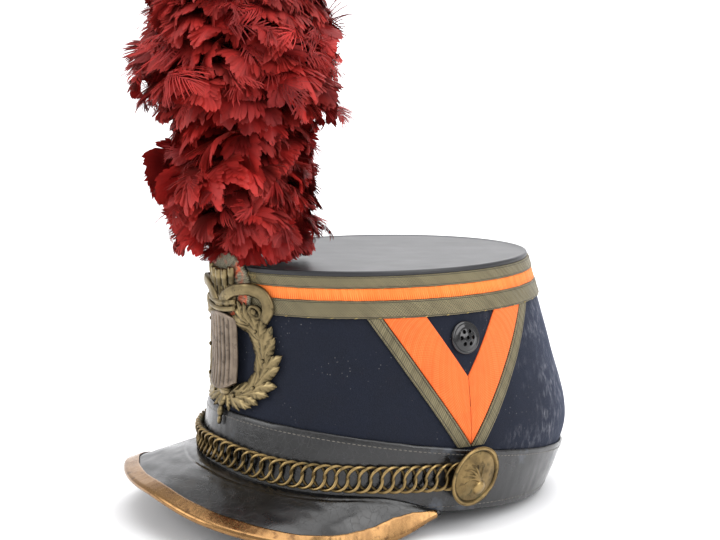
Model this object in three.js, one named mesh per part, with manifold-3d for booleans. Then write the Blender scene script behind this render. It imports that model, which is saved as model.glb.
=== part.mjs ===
// A military shako: a cloth-covered hollow body that flares at the foot, a leather crown top and
// headband, tape and gold lace round the top, V chevrons on the sides, a brass-bound visor, a chin
// chain between two bosses, and at the front a stamped plate, a cockade and a feather plume.
// Millimetres, +Z up, the front faces -Y, the wearer's left is +X.
// An angle t runs round the body from the front (0) over the wearer's left (90 degrees).

import * as THREE from 'three';
import { mergeVertices } from 'three/addons/utils/BufferGeometryUtils.js';
import Module from 'manifold-3d';

const wasm = await Module();
wasm.setup();

// ---------------------------------------------------------------- driving dimensions

const TOP_Z = 135.1;          // upper face of the crown top
const BASE_SLOPE = 0.093;     // rise of the foot's edge towards the front, mm per mm
const BASE_TOUCH_Y = 100;     // where the foot's edge would reach the floor
const WALL = 2.2;             // felt wall with its cloth
const GAP = 0.3;              // left between neighbouring pieces
const AROUND = 56;            // facets round the body

// The body's plan at heights from the foot (0) to the top (1): front and back edge, half width.
const BODY = [
  { s: 0.00, front: -103.0, back: 97.0, half: 81.0 },
  { s: 0.12, front: -99.5, back: 105.0, half: 84.0 },
  { s: 0.30, front: -94.5, back: 112.5, half: 87.3 },
  { s: 0.60, front: -90.0, back: 101.0, half: 83.3 },
  { s: 1.00, front: -91.5, back: 84.5, half: 74.8 },
];

const CROWN_T = 2.1;          // leather of the crown top
const CROWN_PLUG = 0.8;       // its middle stands this far down into the body

// Tapes round the top: lower and upper edge, thickness.
const TAPES = [
  { name: 'lace_upper', low: 126.6, high: 132.7, t: 1.1, look: 'lace' },
  { name: 'stripe', low: 120.7, high: 126.3, t: 0.8, look: 'orange' },
  { name: 'lace_lower', low: 111.6, high: 120.4, t: 1.1, look: 'lace' },
];

const BAND_TOP = 43;          // leather headband's upper edge at y = 0
const BAND_SLOPE = 0.165;     // its rise towards the front, mm per mm
const BAND_T = 1.6;

// Chevrons, as distances from the side's middle line and heights.
const CHEV_TOP = 111.3;
const CHEV_APEX_IN = 80.2;
const CHEV_APEX_OUT = 45.3;
const CHEV_IN = 21;           // half width inside the V at the top
const CHEV_OUT = 43.4;        // half width over the cloth at the top
const CHEV_LACE = 7.7;        // level width of the gold edge
const CHEV_T = 0.8;

// The visor: angle, where its top leaves the band, its edge's height, its reach from the band.
// The wearer's right side stands higher, because the old leather has warped.
const VISOR = [
  { t: -82, root: 12.4, edge: 12.9, reach: 1.6 },
  { t: -62, root: 24.0, edge: 2.7, reach: 9.5 },
  { t: -40, root: 29.6, edge: 15.0, reach: 33.5 },
  { t: -22, root: 31.1, edge: 23.6, reach: 40.0 },
  { t: 0, root: 30.8, edge: 24.3, reach: 40.4 },
  { t: 20, root: 27.9, edge: 17.4, reach: 40.6 },
  { t: 40, root: 24.6, edge: 9.2, reach: 34.3 },
  { t: 62, root: 22.0, edge: 2.7, reach: 9.5 },
  { t: 82, root: 12.4, edge: 12.9, reach: 1.6 },
];
const VISOR_T = 2.4;
const VISOR_BEND = 1.5;       // power of the fall from root to edge
const RIM_COVER = 7.4;        // the brass binding's width on the visor
const RIM_UNDER = 4.5;
const RIM_T = 0.7;
const RIM_GAP = 0.6;

// The chin chain's height along the band.
const CHAIN = [
  { t: -90, z: 29.7 },
  { t: -62, z: 34.0 },
  { t: -32, z: 38.5 },
  { t: 0, z: 38.6 },
  { t: 34, z: 33.6 },
  { t: 62, z: 31.3 },
  { t: 90, z: 29.7 },
];
const RING_R = 6.3;           // centre line of a ring's wire
const RING_WIRE = 0.9;        // radius of the wire
const RING_PITCH = 5.7;
const CHAIN_END = 79;         // angle of the last ring's centre, beside the boss's post
const CHAIN_SOLIDS = 6;

const BOSS_Z = 29.7;
const BOSS_R = 16;
const BOSS_YAW = 8;           // turned rearwards by the chain's end under it
const BOSS_LIFT = 5.9;        // back of the boss off the body, over the chain

const VENT_Z = 99.5;
const VENT_R = 8.5;
const VENT_HOLE = 0.95;
const VENT_BORE = 5.6;        // hole in the body behind the ventilator

const COCKADE_Z = 122;
const COCKADE_R = 21;
const COCKADE_LIFT = 3.2;     // it stands on the tapes' edges and the knot of its ribbon
const COCKADE_T = 2.4;

const PLATE_NEAR = 1.8;       // back of the front plate off the body at its wreath
const PLATE_OVER = 6.1;       // and where it crosses the cockade
const SHIELD_LIFT = 4.6;      // the shield bulges away from the body
const PLUME_Y = -80;
const STEM_R = 2.6;
const FOOT_R = 9;

// The plume's outer form: height, centre and half width; its hollow follows it further in.
const PLUME = [
  { z: 143.2, y: -82, r: 27 },
  { z: 150, y: -82, r: 36 },
  { z: 162, y: -81, r: 42 },
  { z: 180, y: -80, r: 45 },
  { z: 205, y: -79, r: 45 },
  { z: 235, y: -79, r: 47 },
  { z: 265, y: -79, r: 46 },
  { z: 290, y: -79, r: 39 },
  { z: 308, y: -79, r: 27 },
  { z: 317, y: -79, r: 14 },
];
const PLUME_TOP = 320.5;
const PLUME_SKIN = 13;        // depth of the feathers round the hollow

// ---------------------------------------------------------------- small tools

const rad = THREE.MathUtils.degToRad;
const V3 = (x, y, z) => new THREE.Vector3(x, y, z);

// A smooth curve through a table's rows that keeps to their order and never overshoots.
function curve(rows, key, value) {
  const x = rows.map((row) => row[key]);
  const y = rows.map((row) => row[value]);
  const n = x.length;
  const d = [];
  for (let i = 0; i < n - 1; i++) d.push((y[i + 1] - y[i]) / (x[i + 1] - x[i]));
  const m = [d[0]];
  for (let i = 1; i < n - 1; i++) {
    const a = d[i - 1];
    const b = d[i];
    m.push(a * b <= 0 ? 0 : (2 * a * b) / (a + b));
  }
  m.push(d[n - 2]);
  return (at) => {
    const u = Math.min(Math.max(at, x[0]), x[n - 1]);
    let i = 0;
    while (i < n - 2 && u > x[i + 1]) i++;
    const h = x[i + 1] - x[i];
    const k = (u - x[i]) / h;
    const k2 = k * k;
    const k3 = k2 * k;
    return (2 * k3 - 3 * k2 + 1) * y[i] + (k3 - 2 * k2 + k) * h * m[i]
      + (3 * k2 - 2 * k3) * y[i + 1] + (k3 - k2) * h * m[i + 1];
  };
}

// An indexed geometry whose faces point outwards.
function solid(points, faces) {
  const geometry = new THREE.BufferGeometry();
  geometry.setAttribute('position', new THREE.Float32BufferAttribute(points.flatMap((p) => [p.x, p.y, p.z]), 3));
  let volume = 0;
  for (const [a, b, c] of faces) volume += points[a].dot(points[b].clone().cross(points[c]));
  const index = volume < 0 ? faces.flatMap(([a, b, c]) => [a, c, b]) : faces.flat();
  geometry.setIndex(index);
  return geometry;
}

// Faces between rows of points, row i to row i + 1, each row being a closed loop of m points.
function loopFaces(rows, m, closed) {
  const faces = [];
  const last = closed ? rows : rows - 1;
  for (let i = 0; i < last; i++) {
    const p = i * m;
    const q = ((i + 1) % rows) * m;
    for (let j = 0; j < m; j++) {
      const k = (j + 1) % m;
      faces.push([p + j, q + j, q + k], [p + j, q + k, p + k]);
    }
  }
  return faces;
}

// A closed section carried right round the body.
function ringSolid(section, n = AROUND) {
  const points = [];
  let m = 0;
  for (let i = 0; i < n; i++) {
    const row = section((2 * Math.PI * i) / n);
    m = row.length;
    points.push(...row);
  }
  return solid(points, loopFaces(n, m, true));
}

// A closed section carried along an open row of stations, with its two ends covered.
// flat(station) gives the section's own two-dimensional outline, for covering the ends.
function sweptSolid(section, stations, flat) {
  const points = [];
  let m = 0;
  for (const station of stations) {
    const row = section(station);
    m = row.length;
    points.push(...row);
  }
  const faces = loopFaces(stations.length, m, false);
  const end = (stations.length - 1) * m;
  const cap0 = THREE.ShapeUtils.triangulateShape(flat(stations[0]), []);
  const cap1 = THREE.ShapeUtils.triangulateShape(flat(stations[stations.length - 1]), []);
  // each cap is wound against the walls it closes
  const turn0 = THREE.ShapeUtils.isClockWise(flat(stations[0]));
  const turn1 = THREE.ShapeUtils.isClockWise(flat(stations[stations.length - 1]));
  for (const [a, b, c] of cap0) faces.push(turn0 ? [a, c, b] : [a, b, c]);
  for (const [a, b, c] of cap1) faces.push(turn1 ? [end + a, end + b, end + c] : [end + a, end + c, end + b]);
  return solid(points, faces);
}

// Loops stacked between two end points.
function stackedSolid(rows, first, last) {
  const m = rows[0].length;
  const points = rows.flat();
  const faces = loopFaces(rows.length, m, false);
  const a = points.length;
  points.push(first, last);
  const end = (rows.length - 1) * m;
  for (let j = 0; j < m; j++) {
    const k = (j + 1) % m;
    faces.push([a, j, k], [a + 1, end + k, end + j]);
  }
  return solid(points, faces);
}

// A patch laid on the body: at(u, v) gives the point on the layer below or above.
function patchSolid(at, nu, nv) {
  const points = [];
  for (const layer of [0, 1]) {
    for (let i = 0; i <= nu; i++) {
      for (let j = 0; j <= nv; j++) points.push(at(i / nu, j / nv, layer));
    }
  }
  const w = nv + 1;
  const top = (nu + 1) * w;
  const faces = [];
  const quad = (a, b, c, d) => faces.push([a, b, c], [a, c, d]);
  for (let i = 0; i < nu; i++) {
    for (let j = 0; j < nv; j++) {
      const a = i * w + j;
      quad(a, a + 1, a + w + 1, a + w);
      quad(top + a, top + a + w, top + a + w + 1, top + a + 1);
    }
  }
  const edge = [];
  for (let j = 0; j < nv; j++) edge.push(j);
  for (let i = 0; i < nu; i++) edge.push(i * w + nv);
  for (let j = nv; j > 0; j--) edge.push(nu * w + j);
  for (let i = nu; i > 0; i--) edge.push(i * w);
  edge.forEach((a, i) => {
    const b = edge[(i + 1) % edge.length];
    quad(a, a + top, b + top, b);
  });
  return solid(points, faces);
}

function toManifold(source) {
  let geometry = source.clone();
  geometry.deleteAttribute('normal');
  geometry.deleteAttribute('uv');
  geometry = mergeVertices(geometry, 1e-4);
  return new wasm.Manifold(new wasm.Mesh({
    numProp: 3,
    vertProperties: new Float32Array(geometry.attributes.position.array),
    triVerts: new Uint32Array(geometry.index.array),
  }));
}

function fromManifold(body) {
  const mesh = body.getMesh();
  const geometry = new THREE.BufferGeometry();
  geometry.setAttribute('position', new THREE.Float32BufferAttribute(Array.from(mesh.vertProperties), 3));
  geometry.setIndex(Array.from(mesh.triVerts));
  return geometry;
}

const joined = (geometries) => geometries.map(toManifold).reduce((a, b) => a.add(b));

// ---------------------------------------------------------------- the body's surface

const frontAt = curve(BODY, 's', 'front');
const backAt = curve(BODY, 's', 'back');
const halfAt = curve(BODY, 's', 'half');

function baseZ(t) {
  const middle = (frontAt(0) + backAt(0)) / 2;
  const y = middle - ((backAt(0) - frontAt(0)) / 2) * Math.cos(t);
  return BASE_SLOPE * Math.max(BASE_TOUCH_Y - y, 0);
}

// The point on the body at angle t and height z, moved outwards by off.
function onBody(t, z, off = 0) {
  const low = baseZ(t);
  const s = (z - low) / (TOP_Z - low);
  const a = (backAt(s) - frontAt(s)) / 2;
  const b = halfAt(s);
  const n = V3(Math.sin(t) / b, -Math.cos(t) / a, 0).normalize();
  return V3(b * Math.sin(t), (backAt(s) + frontAt(s)) / 2 - a * Math.cos(t), z).addScaledVector(n, off);
}

const outward = (t, z) => onBody(t, z, 1).sub(onBody(t, z, 0));

// Level section of the body as a loop of points.
function loopAt(z, off) {
  const row = [];
  for (let i = 0; i < AROUND; i++) row.push(onBody((2 * Math.PI * i) / AROUND, z, off));
  return row;
}

// Height of the headband's upper edge at angle t.
function bandTop(t) {
  let z = BAND_TOP;
  for (let i = 0; i < 4; i++) z = BAND_TOP - BAND_SLOPE * onBody(t, z).y;
  return z;
}

// The angle that lies a mm along the body from angle from, at height z.
function angleAlong(from, a, z) {
  const steps = 16;
  let t = from;
  for (let i = 0; i < steps; i++) {
    const speed = onBody(t + 0.01, z).distanceTo(onBody(t - 0.01, z)) / 0.02;
    t += a / steps / speed;
  }
  return t;
}

// The angle where the body at height z crosses y = 0, the side's middle line.
function sideAngle(z) {
  let t = Math.PI / 2;
  for (let i = 0; i < 6; i++) {
    const speed = (onBody(t + 0.01, z).y - onBody(t - 0.01, z).y) / 0.02;
    t -= onBody(t, z).y / speed;
  }
  return t;
}

// ---------------------------------------------------------------- body, crown, tapes, band

function bodyShell() {
  const outer = [0, 0.08, 0.18, 0.3, 0.45, 0.6, 0.8, 1];
  const inner = [1, 0.75, 0.45, 0.25, 0.1, 0];
  const top = TOP_Z - CROWN_T - GAP;
  const wall = ringSolid((t) => {
    const low = baseZ(t) + GAP;
    const at = (k, off) => onBody(t, low + (top - low) * k, off);
    return [...outer.map((k) => at(k, 0)), ...inner.map((k) => at(k, -WALL))];
  });
  let body = toManifold(wall);
  for (const side of [1, -1]) {
    const bore = new THREE.CylinderGeometry(VENT_BORE, VENT_BORE, 6 * WALL, 14);
    bore.rotateZ(Math.PI / 2);
    bore.translate(side * onBody(sideAngle(VENT_Z), VENT_Z).x, 0, VENT_Z);
    body = body.subtract(toManifold(bore));
  }
  return fromManifold(body);
}

function crownTop() {
  const low = TOP_Z - CROWN_T;
  const inside = -WALL - 1.2;
  const rows = [
    loopAt(low - CROWN_PLUG, inside),
    loopAt(low, inside),
    loopAt(low, 0.6),
    loopAt(low + 0.6, 1.1),
    loopAt(TOP_Z - 0.7, 1.1),
    loopAt(TOP_Z, 0.4),
  ];
  return stackedSolid(rows, V3(0, 0, low - CROWN_PLUG), V3(0, 0, TOP_Z));
}

function tape({ low, high, t: thick }) {
  return ringSolid((t) => [
    onBody(t, low, GAP),
    onBody(t, low, GAP + thick),
    onBody(t, high, GAP + thick),
    onBody(t, high, GAP),
  ]);
}

function lowerBand() {
  return ringSolid((t) => {
    const low = baseZ(t);
    const high = bandTop(t);
    const middle = (low + high) / 2;
    return [
      onBody(t, low, GAP),
      onBody(t, low, GAP + BAND_T),
      onBody(t, middle, GAP + BAND_T),
      onBody(t, high, GAP + BAND_T),
      onBody(t, high, GAP),
      onBody(t, middle, GAP),
    ];
  });
}

// ---------------------------------------------------------------- chevrons

// side: 1 for the wearer's left, -1 for the right; way: 1 for the rear arm, -1 for the front arm.
function chevronPoint(side, way, along, z, off) {
  const t = angleAlong(sideAngle(z), way * along, z);
  const p = onBody(t, z, off);
  p.x *= side;
  return p;
}

function chevronCloth(side, way) {
  const seam = GAP / 2;
  return patchSolid((u, v, layer) => {
    const inZ = THREE.MathUtils.lerp(CHEV_APEX_IN, CHEV_TOP, u);
    const outZ = THREE.MathUtils.lerp(CHEV_APEX_OUT, CHEV_TOP, u);
    const along = THREE.MathUtils.lerp(seam + (CHEV_IN - seam) * u, seam + (CHEV_OUT - seam) * u, v);
    return chevronPoint(side, way, along, THREE.MathUtils.lerp(inZ, outZ, v), GAP + layer * CHEV_T);
  }, 9, 2);
}

function chevronLace(side, way) {
  const seam = GAP / 2;
  const start = CHEV_APEX_OUT - 0.7;
  return patchSolid((u, v, layer) => {
    const z = THREE.MathUtils.lerp(start, CHEV_TOP, u);
    const along = seam + (CHEV_OUT + 0.5 - seam) * u + CHEV_LACE * v;
    return chevronPoint(side, way, along, z, GAP + layer * (CHEV_T + 0.2));
  }, 10, 1);
}

// ---------------------------------------------------------------- visor and its brass binding

const visorRoot = curve(VISOR, 't', 'root');
const visorEdge = curve(VISOR, 't', 'edge');
const visorReach = curve(VISOR, 't', 'reach');
const VISOR_ROOT_OFF = GAP + BAND_T + 3 * GAP;   // clears the band, which flares under the root

// Across the visor at angle t (degrees): distance from the band and height, with the
// direction square to the leather, as numbers in the plane that stands on the band.
function visorProfile(t, v) {
  const reach = visorReach(t);
  const fall = visorEdge(t) - visorRoot(t);
  const out = reach * v;
  const z = visorRoot(t) + fall * v ** VISOR_BEND;
  const slope = (fall * VISOR_BEND * v ** (VISOR_BEND - 1)) / reach;
  const length = Math.hypot(1, slope);
  return { out, z, nOut: -slope / length, nZ: 1 / length };
}

// The same point in space, lifted square to the leather by up.
function visorPoint(t, v, up, ahead = 0) {
  const p = visorProfile(t, v);
  const out = p.out + p.nOut * up + p.nZ * ahead;
  const z = p.z + p.nZ * up - p.nOut * ahead;
  const root = onBody(rad(t), visorRoot(t), VISOR_ROOT_OFF);
  return root.addScaledVector(outward(rad(t), visorRoot(t)), out).setZ(z);
}

function stationsBetween(low, high, n) {
  return Array.from({ length: n + 1 }, (_, i) => low + ((high - low) * i) / n);
}

// closer together at the sides, where the leather twists down to the floor
const VISOR_END = VISOR[VISOR.length - 1].t;
const VISOR_TURN = 36;
const VISOR_STATIONS = [
  ...stationsBetween(-VISOR_END, -VISOR_TURN, 15).slice(0, -1),
  ...stationsBetween(-VISOR_TURN, VISOR_TURN, 10),
  ...stationsBetween(VISOR_TURN, VISOR_END, 15).slice(1),
];

function visorLeather() {
  const steps = [0, 0.2, 0.45, 0.7, 1];
  const outline = () => [
    ...steps.map((v) => new THREE.Vector2(v, 1)),
    ...[...steps].reverse().map((v) => new THREE.Vector2(v, 0)),
  ];
  const section = (t) => [
    ...steps.map((v) => visorPoint(t, v, 0)),
    ...[...steps].reverse().map((v) => visorPoint(t, v, -VISOR_T)),
  ];
  return sweptSolid(section, VISOR_STATIONS, outline);
}

// The binding's section: along the top, round the edge and back underneath, then inside again.
function rimSection(t) {
  const reach = visorReach(t);
  const top = 1 - Math.min(RIM_COVER / reach, 0.6);
  const under = 1 - Math.min(RIM_UNDER / reach, 0.5);
  const middle = -VISOR_T / 2;
  const inner = VISOR_T / 2 + RIM_GAP;
  const outer = inner + RIM_T;
  const round = (r, angles) => angles.map((a) => [1, middle + r * Math.cos(rad(a)), r * Math.sin(rad(a))]);
  return [
    [top, middle + outer, 0],
    [(1 + top) / 2, middle + outer, 0],
    ...round(outer, [0, 45, 90, 135, 180]),
    [under, middle - outer, 0],
    [under, middle - inner, 0],
    ...round(inner, [180, 120, 60, 0]),
    [(1 + top) / 2, middle + inner, 0],
    [top, middle + inner, 0],
  ];
}

function visorRim() {
  const section = (t) => rimSection(t).map(([v, up, ahead]) => visorPoint(t, v, up, ahead));
  const outline = (t) => rimSection(t).map(([v, up, ahead]) => new THREE.Vector2(v * visorReach(t) + ahead, up));
  return sweptSolid(section, VISOR_STATIONS.slice(1, -1), outline);
}

// ---------------------------------------------------------------- chin chain

const chainZ = curve(CHAIN, 't', 'z');
const CHAIN_OFF = GAP + BAND_T + 1.5 * GAP + RING_WIRE;

// The angle at each distance along the chain's route, from the right boss to the left.
function chainRoute() {
  const steps = 320;
  const rows = [];
  let before = null;
  let a = 0;
  for (let i = 0; i <= steps; i++) {
    const deg = THREE.MathUtils.lerp(-CHAIN_END, CHAIN_END, i / steps);
    const p = onBody(rad(deg), chainZ(deg), CHAIN_OFF);
    if (before) a += p.distanceTo(before);
    rows.push({ a, deg });
    before = p;
  }
  return { length: a, angleAt: curve(rows, 'a', 'deg') };
}

// One flat ring in the layout: x along the chain, z up it, y through it.
function ringSlab(a) {
  const sides = 8;
  const circle = (r) => Array.from({ length: sides }, (_, i) => {
    const angle = (2 * Math.PI * (i + 0.5)) / sides;
    return new THREE.Vector2(a + r * Math.cos(angle), r * Math.sin(angle));
  });
  const shape = new THREE.Shape(circle(RING_R + RING_WIRE));
  shape.holes.push(new THREE.Path(circle(RING_R - RING_WIRE)));
  const body = new THREE.ExtrudeGeometry(shape, { depth: 2 * RING_WIRE, bevelEnabled: false, steps: 1 });
  body.rotateX(Math.PI / 2);
  body.translate(0, RING_WIRE, 0);
  return body;
}

// The rings lie flat along the band, each one through the next two, joined where they cross.
// The chain is laid out flat, parted into a few lengths, and each is wrapped on the band.
function chinChain() {
  const route = chainRoute();
  const count = Math.round(route.length / RING_PITCH) + 1;
  const pitch = route.length / (count - 1);
  const whole = joined(Array.from({ length: count }, (_, i) => ringSlab(pitch * i)));
  const per = Math.ceil(count / CHAIN_SOLIDS);
  const solids = [];
  for (let k = 0; k < CHAIN_SOLIDS; k++) {
    const low = k === 0 ? -20 : pitch * (k * per - 0.5) + GAP / 2;
    const high = k === CHAIN_SOLIDS - 1 ? route.length + 20 : pitch * ((k + 1) * per - 0.5) - GAP / 2;
    const slice = new THREE.BoxGeometry(high - low, 10, 40);
    slice.translate((low + high) / 2, 0, 0);
    const geometry = fromManifold(whole.intersect(toManifold(slice)));
    const p = geometry.attributes.position;
    for (let i = 0; i < p.count; i++) {
      const beyond = p.getX(i) < 0 ? p.getX(i) : Math.max(p.getX(i) - route.length, 0);
      const deg = route.angleAt(p.getX(i) - beyond);
      const t = angleAlong(rad(deg), beyond, chainZ(deg));
      const q = onBody(t, chainZ(deg) + p.getZ(i), CHAIN_OFF - p.getY(i));
      p.setXYZ(i, q.x, q.y, q.z);
    }
    solids.push(geometry);
  }
  return solids;
}

// ---------------------------------------------------------------- bosses and ventilators

// Stands a turned piece made along +Y on the body's side, pointing square out of the surface.
function standOnSide(geometry, side, z, off, yaw = 0) {
  const t = sideAngle(z);
  const p = onBody(t, z, off);
  const rise = onBody(t, z + 2).sub(onBody(t, z - 2));
  geometry.rotateZ(-Math.PI / 2);
  geometry.rotateY(Math.atan2(rise.x, rise.z));
  geometry.rotateZ(rad(side * yaw));
  geometry.translate(p.x, 0, z);
  if (side < 0) geometry.rotateZ(Math.PI);
  return geometry;
}

function boss(side) {
  const r = BOSS_R;
  const post = -BOSS_LIFT + GAP + BAND_T + 4 * GAP;
  const profile = [
    [0, post],
    [4, post],
    [4, 0],
    [r - 1, 0],
    [r, 0.8],
    [r, 1.8],
    [r - 1, 2.4],
    [r - 2.4, 1.9],
    [r * 0.55, 3.4],
    [r * 0.25, 4.1],
    [0, 4.3],
  ].map(([x, y]) => new THREE.Vector2(x, y));
  const dome = new THREE.LatheGeometry(profile, 22);
  return standOnSide(dome, side, BOSS_Z, BOSS_LIFT, BOSS_YAW);
}

function ventilator(side) {
  const r = VENT_R;
  const profile = [
    [0, 1.2],
    [r * 0.6, 0.6],
    [r * 0.7, 0],
    [r, 0],
    [r, 0.7],
    [r * 0.8, 1.1],
    [r * 0.55, 2.1],
    [0, 2.9],
  ].map(([x, y]) => new THREE.Vector2(x, y));
  let body = toManifold(new THREE.LatheGeometry(profile, 14));
  for (let i = 0; i < 7; i++) {
    const hole = new THREE.CylinderGeometry(VENT_HOLE, VENT_HOLE, 12, 6);
    const angle = (2 * Math.PI * i) / 6;
    const out = i === 6 ? 0 : 0.42 * r;
    hole.translate(out * Math.cos(angle), 0, out * Math.sin(angle));
    body = body.subtract(toManifold(hole));
  }
  return standOnSide(fromManifold(body), side, VENT_Z, GAP + 0.15);
}

// ---------------------------------------------------------------- front: cockade, plate, plume

// Wraps a flat layout (x along the body, y outwards from the lift, z height) round the front.
function wrapFront(geometry, lift) {
  const p = geometry.attributes.position;
  for (let i = 0; i < p.count; i++) {
    const t = angleAlong(0, p.getX(i), Math.min(p.getZ(i), TOP_Z));
    const q = onBody(t, p.getZ(i), lift(p.getX(i), p.getZ(i)) - p.getY(i));
    p.setXYZ(i, q.x, q.y, q.z);
  }
  return geometry;
}

function cockade() {
  const spokes = 24;
  const layer = (r, out) => Array.from({ length: spokes }, (_, i) => {
    const angle = (2 * Math.PI * i) / spokes;
    return V3(r * Math.cos(angle), -out, COCKADE_Z + r * Math.sin(angle));
  });
  const rows = [
    layer(COCKADE_R * 0.4, 0),
    layer(COCKADE_R * 0.8, 0),
    layer(COCKADE_R, 0.2),
    layer(COCKADE_R, COCKADE_T - 0.6),
    layer(COCKADE_R * 0.8, COCKADE_T),
    layer(COCKADE_R * 0.4, COCKADE_T),
  ];
  const disc = stackedSolid(rows, V3(0, 0, COCKADE_Z), V3(0, -COCKADE_T, COCKADE_Z));
  return wrapFront(disc, () => COCKADE_LIFT);
}

// A flat shape given by (x, z) corners, as a slab from depth back to depth front.
function slab(corners, back, front) {
  const shape = new THREE.Shape(corners.map(([x, z]) => new THREE.Vector2(x, z)));
  const body = new THREE.ExtrudeGeometry(shape, { depth: front - back, bevelEnabled: false, steps: 1 });
  body.rotateX(Math.PI / 2);
  body.translate(0, -back, 0);
  return body;
}

// A pointed leaf from its root at (x, z), lying at an angle from the +X direction.
function leaf(x, z, angle, length, width, back, front) {
  const form = [[0, -0.2], [0.45, -0.5], [1, 0], [0.45, 0.5], [0, 0.2]];
  const c = Math.cos(rad(angle));
  const s = Math.sin(rad(angle));
  const corners = form.map(([u, v]) => {
    const a = u * length;
    const b = v * width;
    return [x + a * c - b * s, z + a * s + b * c];
  });
  return slab(corners, back, front);
}

// How far the plate's back stands off the body: high over the cockade, low on the cloth, and
// clear of the band at its foot.
function plateLift(x, z) {
  const d = Math.hypot(x, z - COCKADE_Z);
  const over = PLATE_NEAR + (PLATE_OVER - PLATE_NEAR) * (1 - THREE.MathUtils.smoothstep(d, COCKADE_R + 1.5, COCKADE_R + 13));
  return over + 1.2 * (1 - THREE.MathUtils.smoothstep(z, 61, 66));
}

// The wreath's middle line on the wearer's left, from the foot to the ribbon: x and height.
const WREATH = [[5, 67], [13, 68], [21, 71.5], [26.5, 78], [28.5, 87], [27, 96], [23, 103.5], [18, 108]];
// The ribbon's middle line, from the shield's head over the crown's foot to its folded end.
const RIBBON = [[0, 113, 0], [6, 119, 0.2], [14.6, 123.3, 0], [22, 124.3, 0.2], [29.5, 120.5, 0], [31.5, 114.5, 0.2], [29, 108.5, 0]];
const RIBBON_HALF = 2.9;
const SHIELD_W = 24;
const TOWER_PITCH = 4.4;

// The stamping: fluted shield, mural crown, ribbon, laurel wreath and a pendant under it.
function frontPlate() {
  const shield = [];
  const flutes = 7;
  const wide = SHIELD_W / flutes;
  for (let i = 0; i < flutes; i++) {
    const x = (i - (flutes - 1) / 2) * wide;
    const foot = 70 + 4 * (Math.abs(x) / (SHIELD_W / 2)) ** 2;
    const w = wide / 2;
    shield.push(slab([[x - w - 0.1, foot], [x + w + 0.1, foot], [x + w + 0.1, 111], [x - w - 0.1, 111]], 0.1 * (i % 2), 1.9));
    shield.push(slab([[x - w * 0.5, foot + 1], [x + w * 0.5, foot + 1], [x + w * 0.5, 110], [x - w * 0.5, 110]], 1, 2.6));
  }
  const raise = (x, z) => Math.max(SHIELD_LIFT, plateLift(x, z));
  const shieldBody = wrapFront(fromManifold(joined(shield)), raise);
  const pieces = [];
  // crown: a wall with four openings between its towers
  for (let i = -2; i <= 2; i++) {
    const x = i * TOWER_PITCH;
    pieces.push(slab([[x - 2.4, 110.3], [x + 2.4, 110.3], [x + 2.4, 124], [x - 2.4, 124]], 0.15 * Math.abs(i % 2), 2.6));
    pieces.push(slab([[x - 1.5, 122], [x + 1.5, 122], [x + 1.8, 133], [x - 1.8, 133]], 0.3, 3));
  }
  for (const side of [1, -1]) {
    for (let i = 0; i < RIBBON.length - 1; i++) {
      const [x0, z0, d] = RIBBON[i];
      const [x1, z1] = RIBBON[i + 1];
      const n = new THREE.Vector2(z0 - z1, x1 - x0).setLength(RIBBON_HALF);
      pieces.push(slab([
        [side * (x0 - n.x), z0 - n.y],
        [side * (x1 - n.x), z1 - n.y],
        [side * (x1 + n.x), z1 + n.y],
        [side * (x0 + n.x), z0 + n.y],
      ], d, 2 + d));
    }
    // wreath: leaves in pairs along its middle line
    WREATH.forEach(([x, z], i) => {
      const [x1, z1] = WREATH[Math.min(i + 1, WREATH.length - 1)];
      const [x0, z0] = WREATH[Math.max(i - 1, 0)];
      const way = THREE.MathUtils.radToDeg(Math.atan2(z1 - z0, x1 - x0));
      for (const [turn, d] of [[-30, 0.1], [28, 0.35]]) {
        const a = side > 0 ? way + turn : 180 - way - turn;
        pieces.push(leaf(side * x, z, a, 13.5, 7.5, d + 0.1 * (i % 2), 1.9 + d));
      }
    });
    // leaves where the stems cross
    pieces.push(leaf(side * 4, 68, side > 0 ? -14 : 194, 20, 7, 0.2, 1.9));
  }
  // knot and pendant
  pieces.push(slab([[-7, 66], [7, 66], [7, 71.5], [-7, 71.5]], 0.05, 2.3));
  pieces.push(slab([[-2.6, 67], [-3, 58], [-1.2, 51], [1.2, 51], [3, 58], [2.6, 67]], 0.25, 2.4));
  const flat = wrapFront(fromManifold(joined(pieces)), plateLift);
  // blocks join the bulged shield's foot to the sheet behind it
  const blocks = [-6, 6].map((x) => {
    const block = new THREE.BoxGeometry(6, 4.2, 4);
    block.translate(x, -2.1, 70.5);
    return wrapFront(block, () => PLATE_NEAR);
  });
  return fromManifold(joined([shieldBody, flat, ...blocks]));
}

function plumeStem() {
  const foot = TOP_Z + 0.35;
  const profile = [
    [0, foot],
    [FOOT_R, foot],
    [FOOT_R, foot + 1],
    [STEM_R + 1, foot + 1.6],
    [STEM_R, foot + 4],
    [STEM_R, 262],
    [0, 264],
  ].map(([x, y]) => new THREE.Vector2(x, y));
  const stem = new THREE.LatheGeometry(profile, 12);
  stem.rotateX(Math.PI / 2);
  stem.translate(0, PLUME_Y, 0);
  return stem;
}

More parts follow.
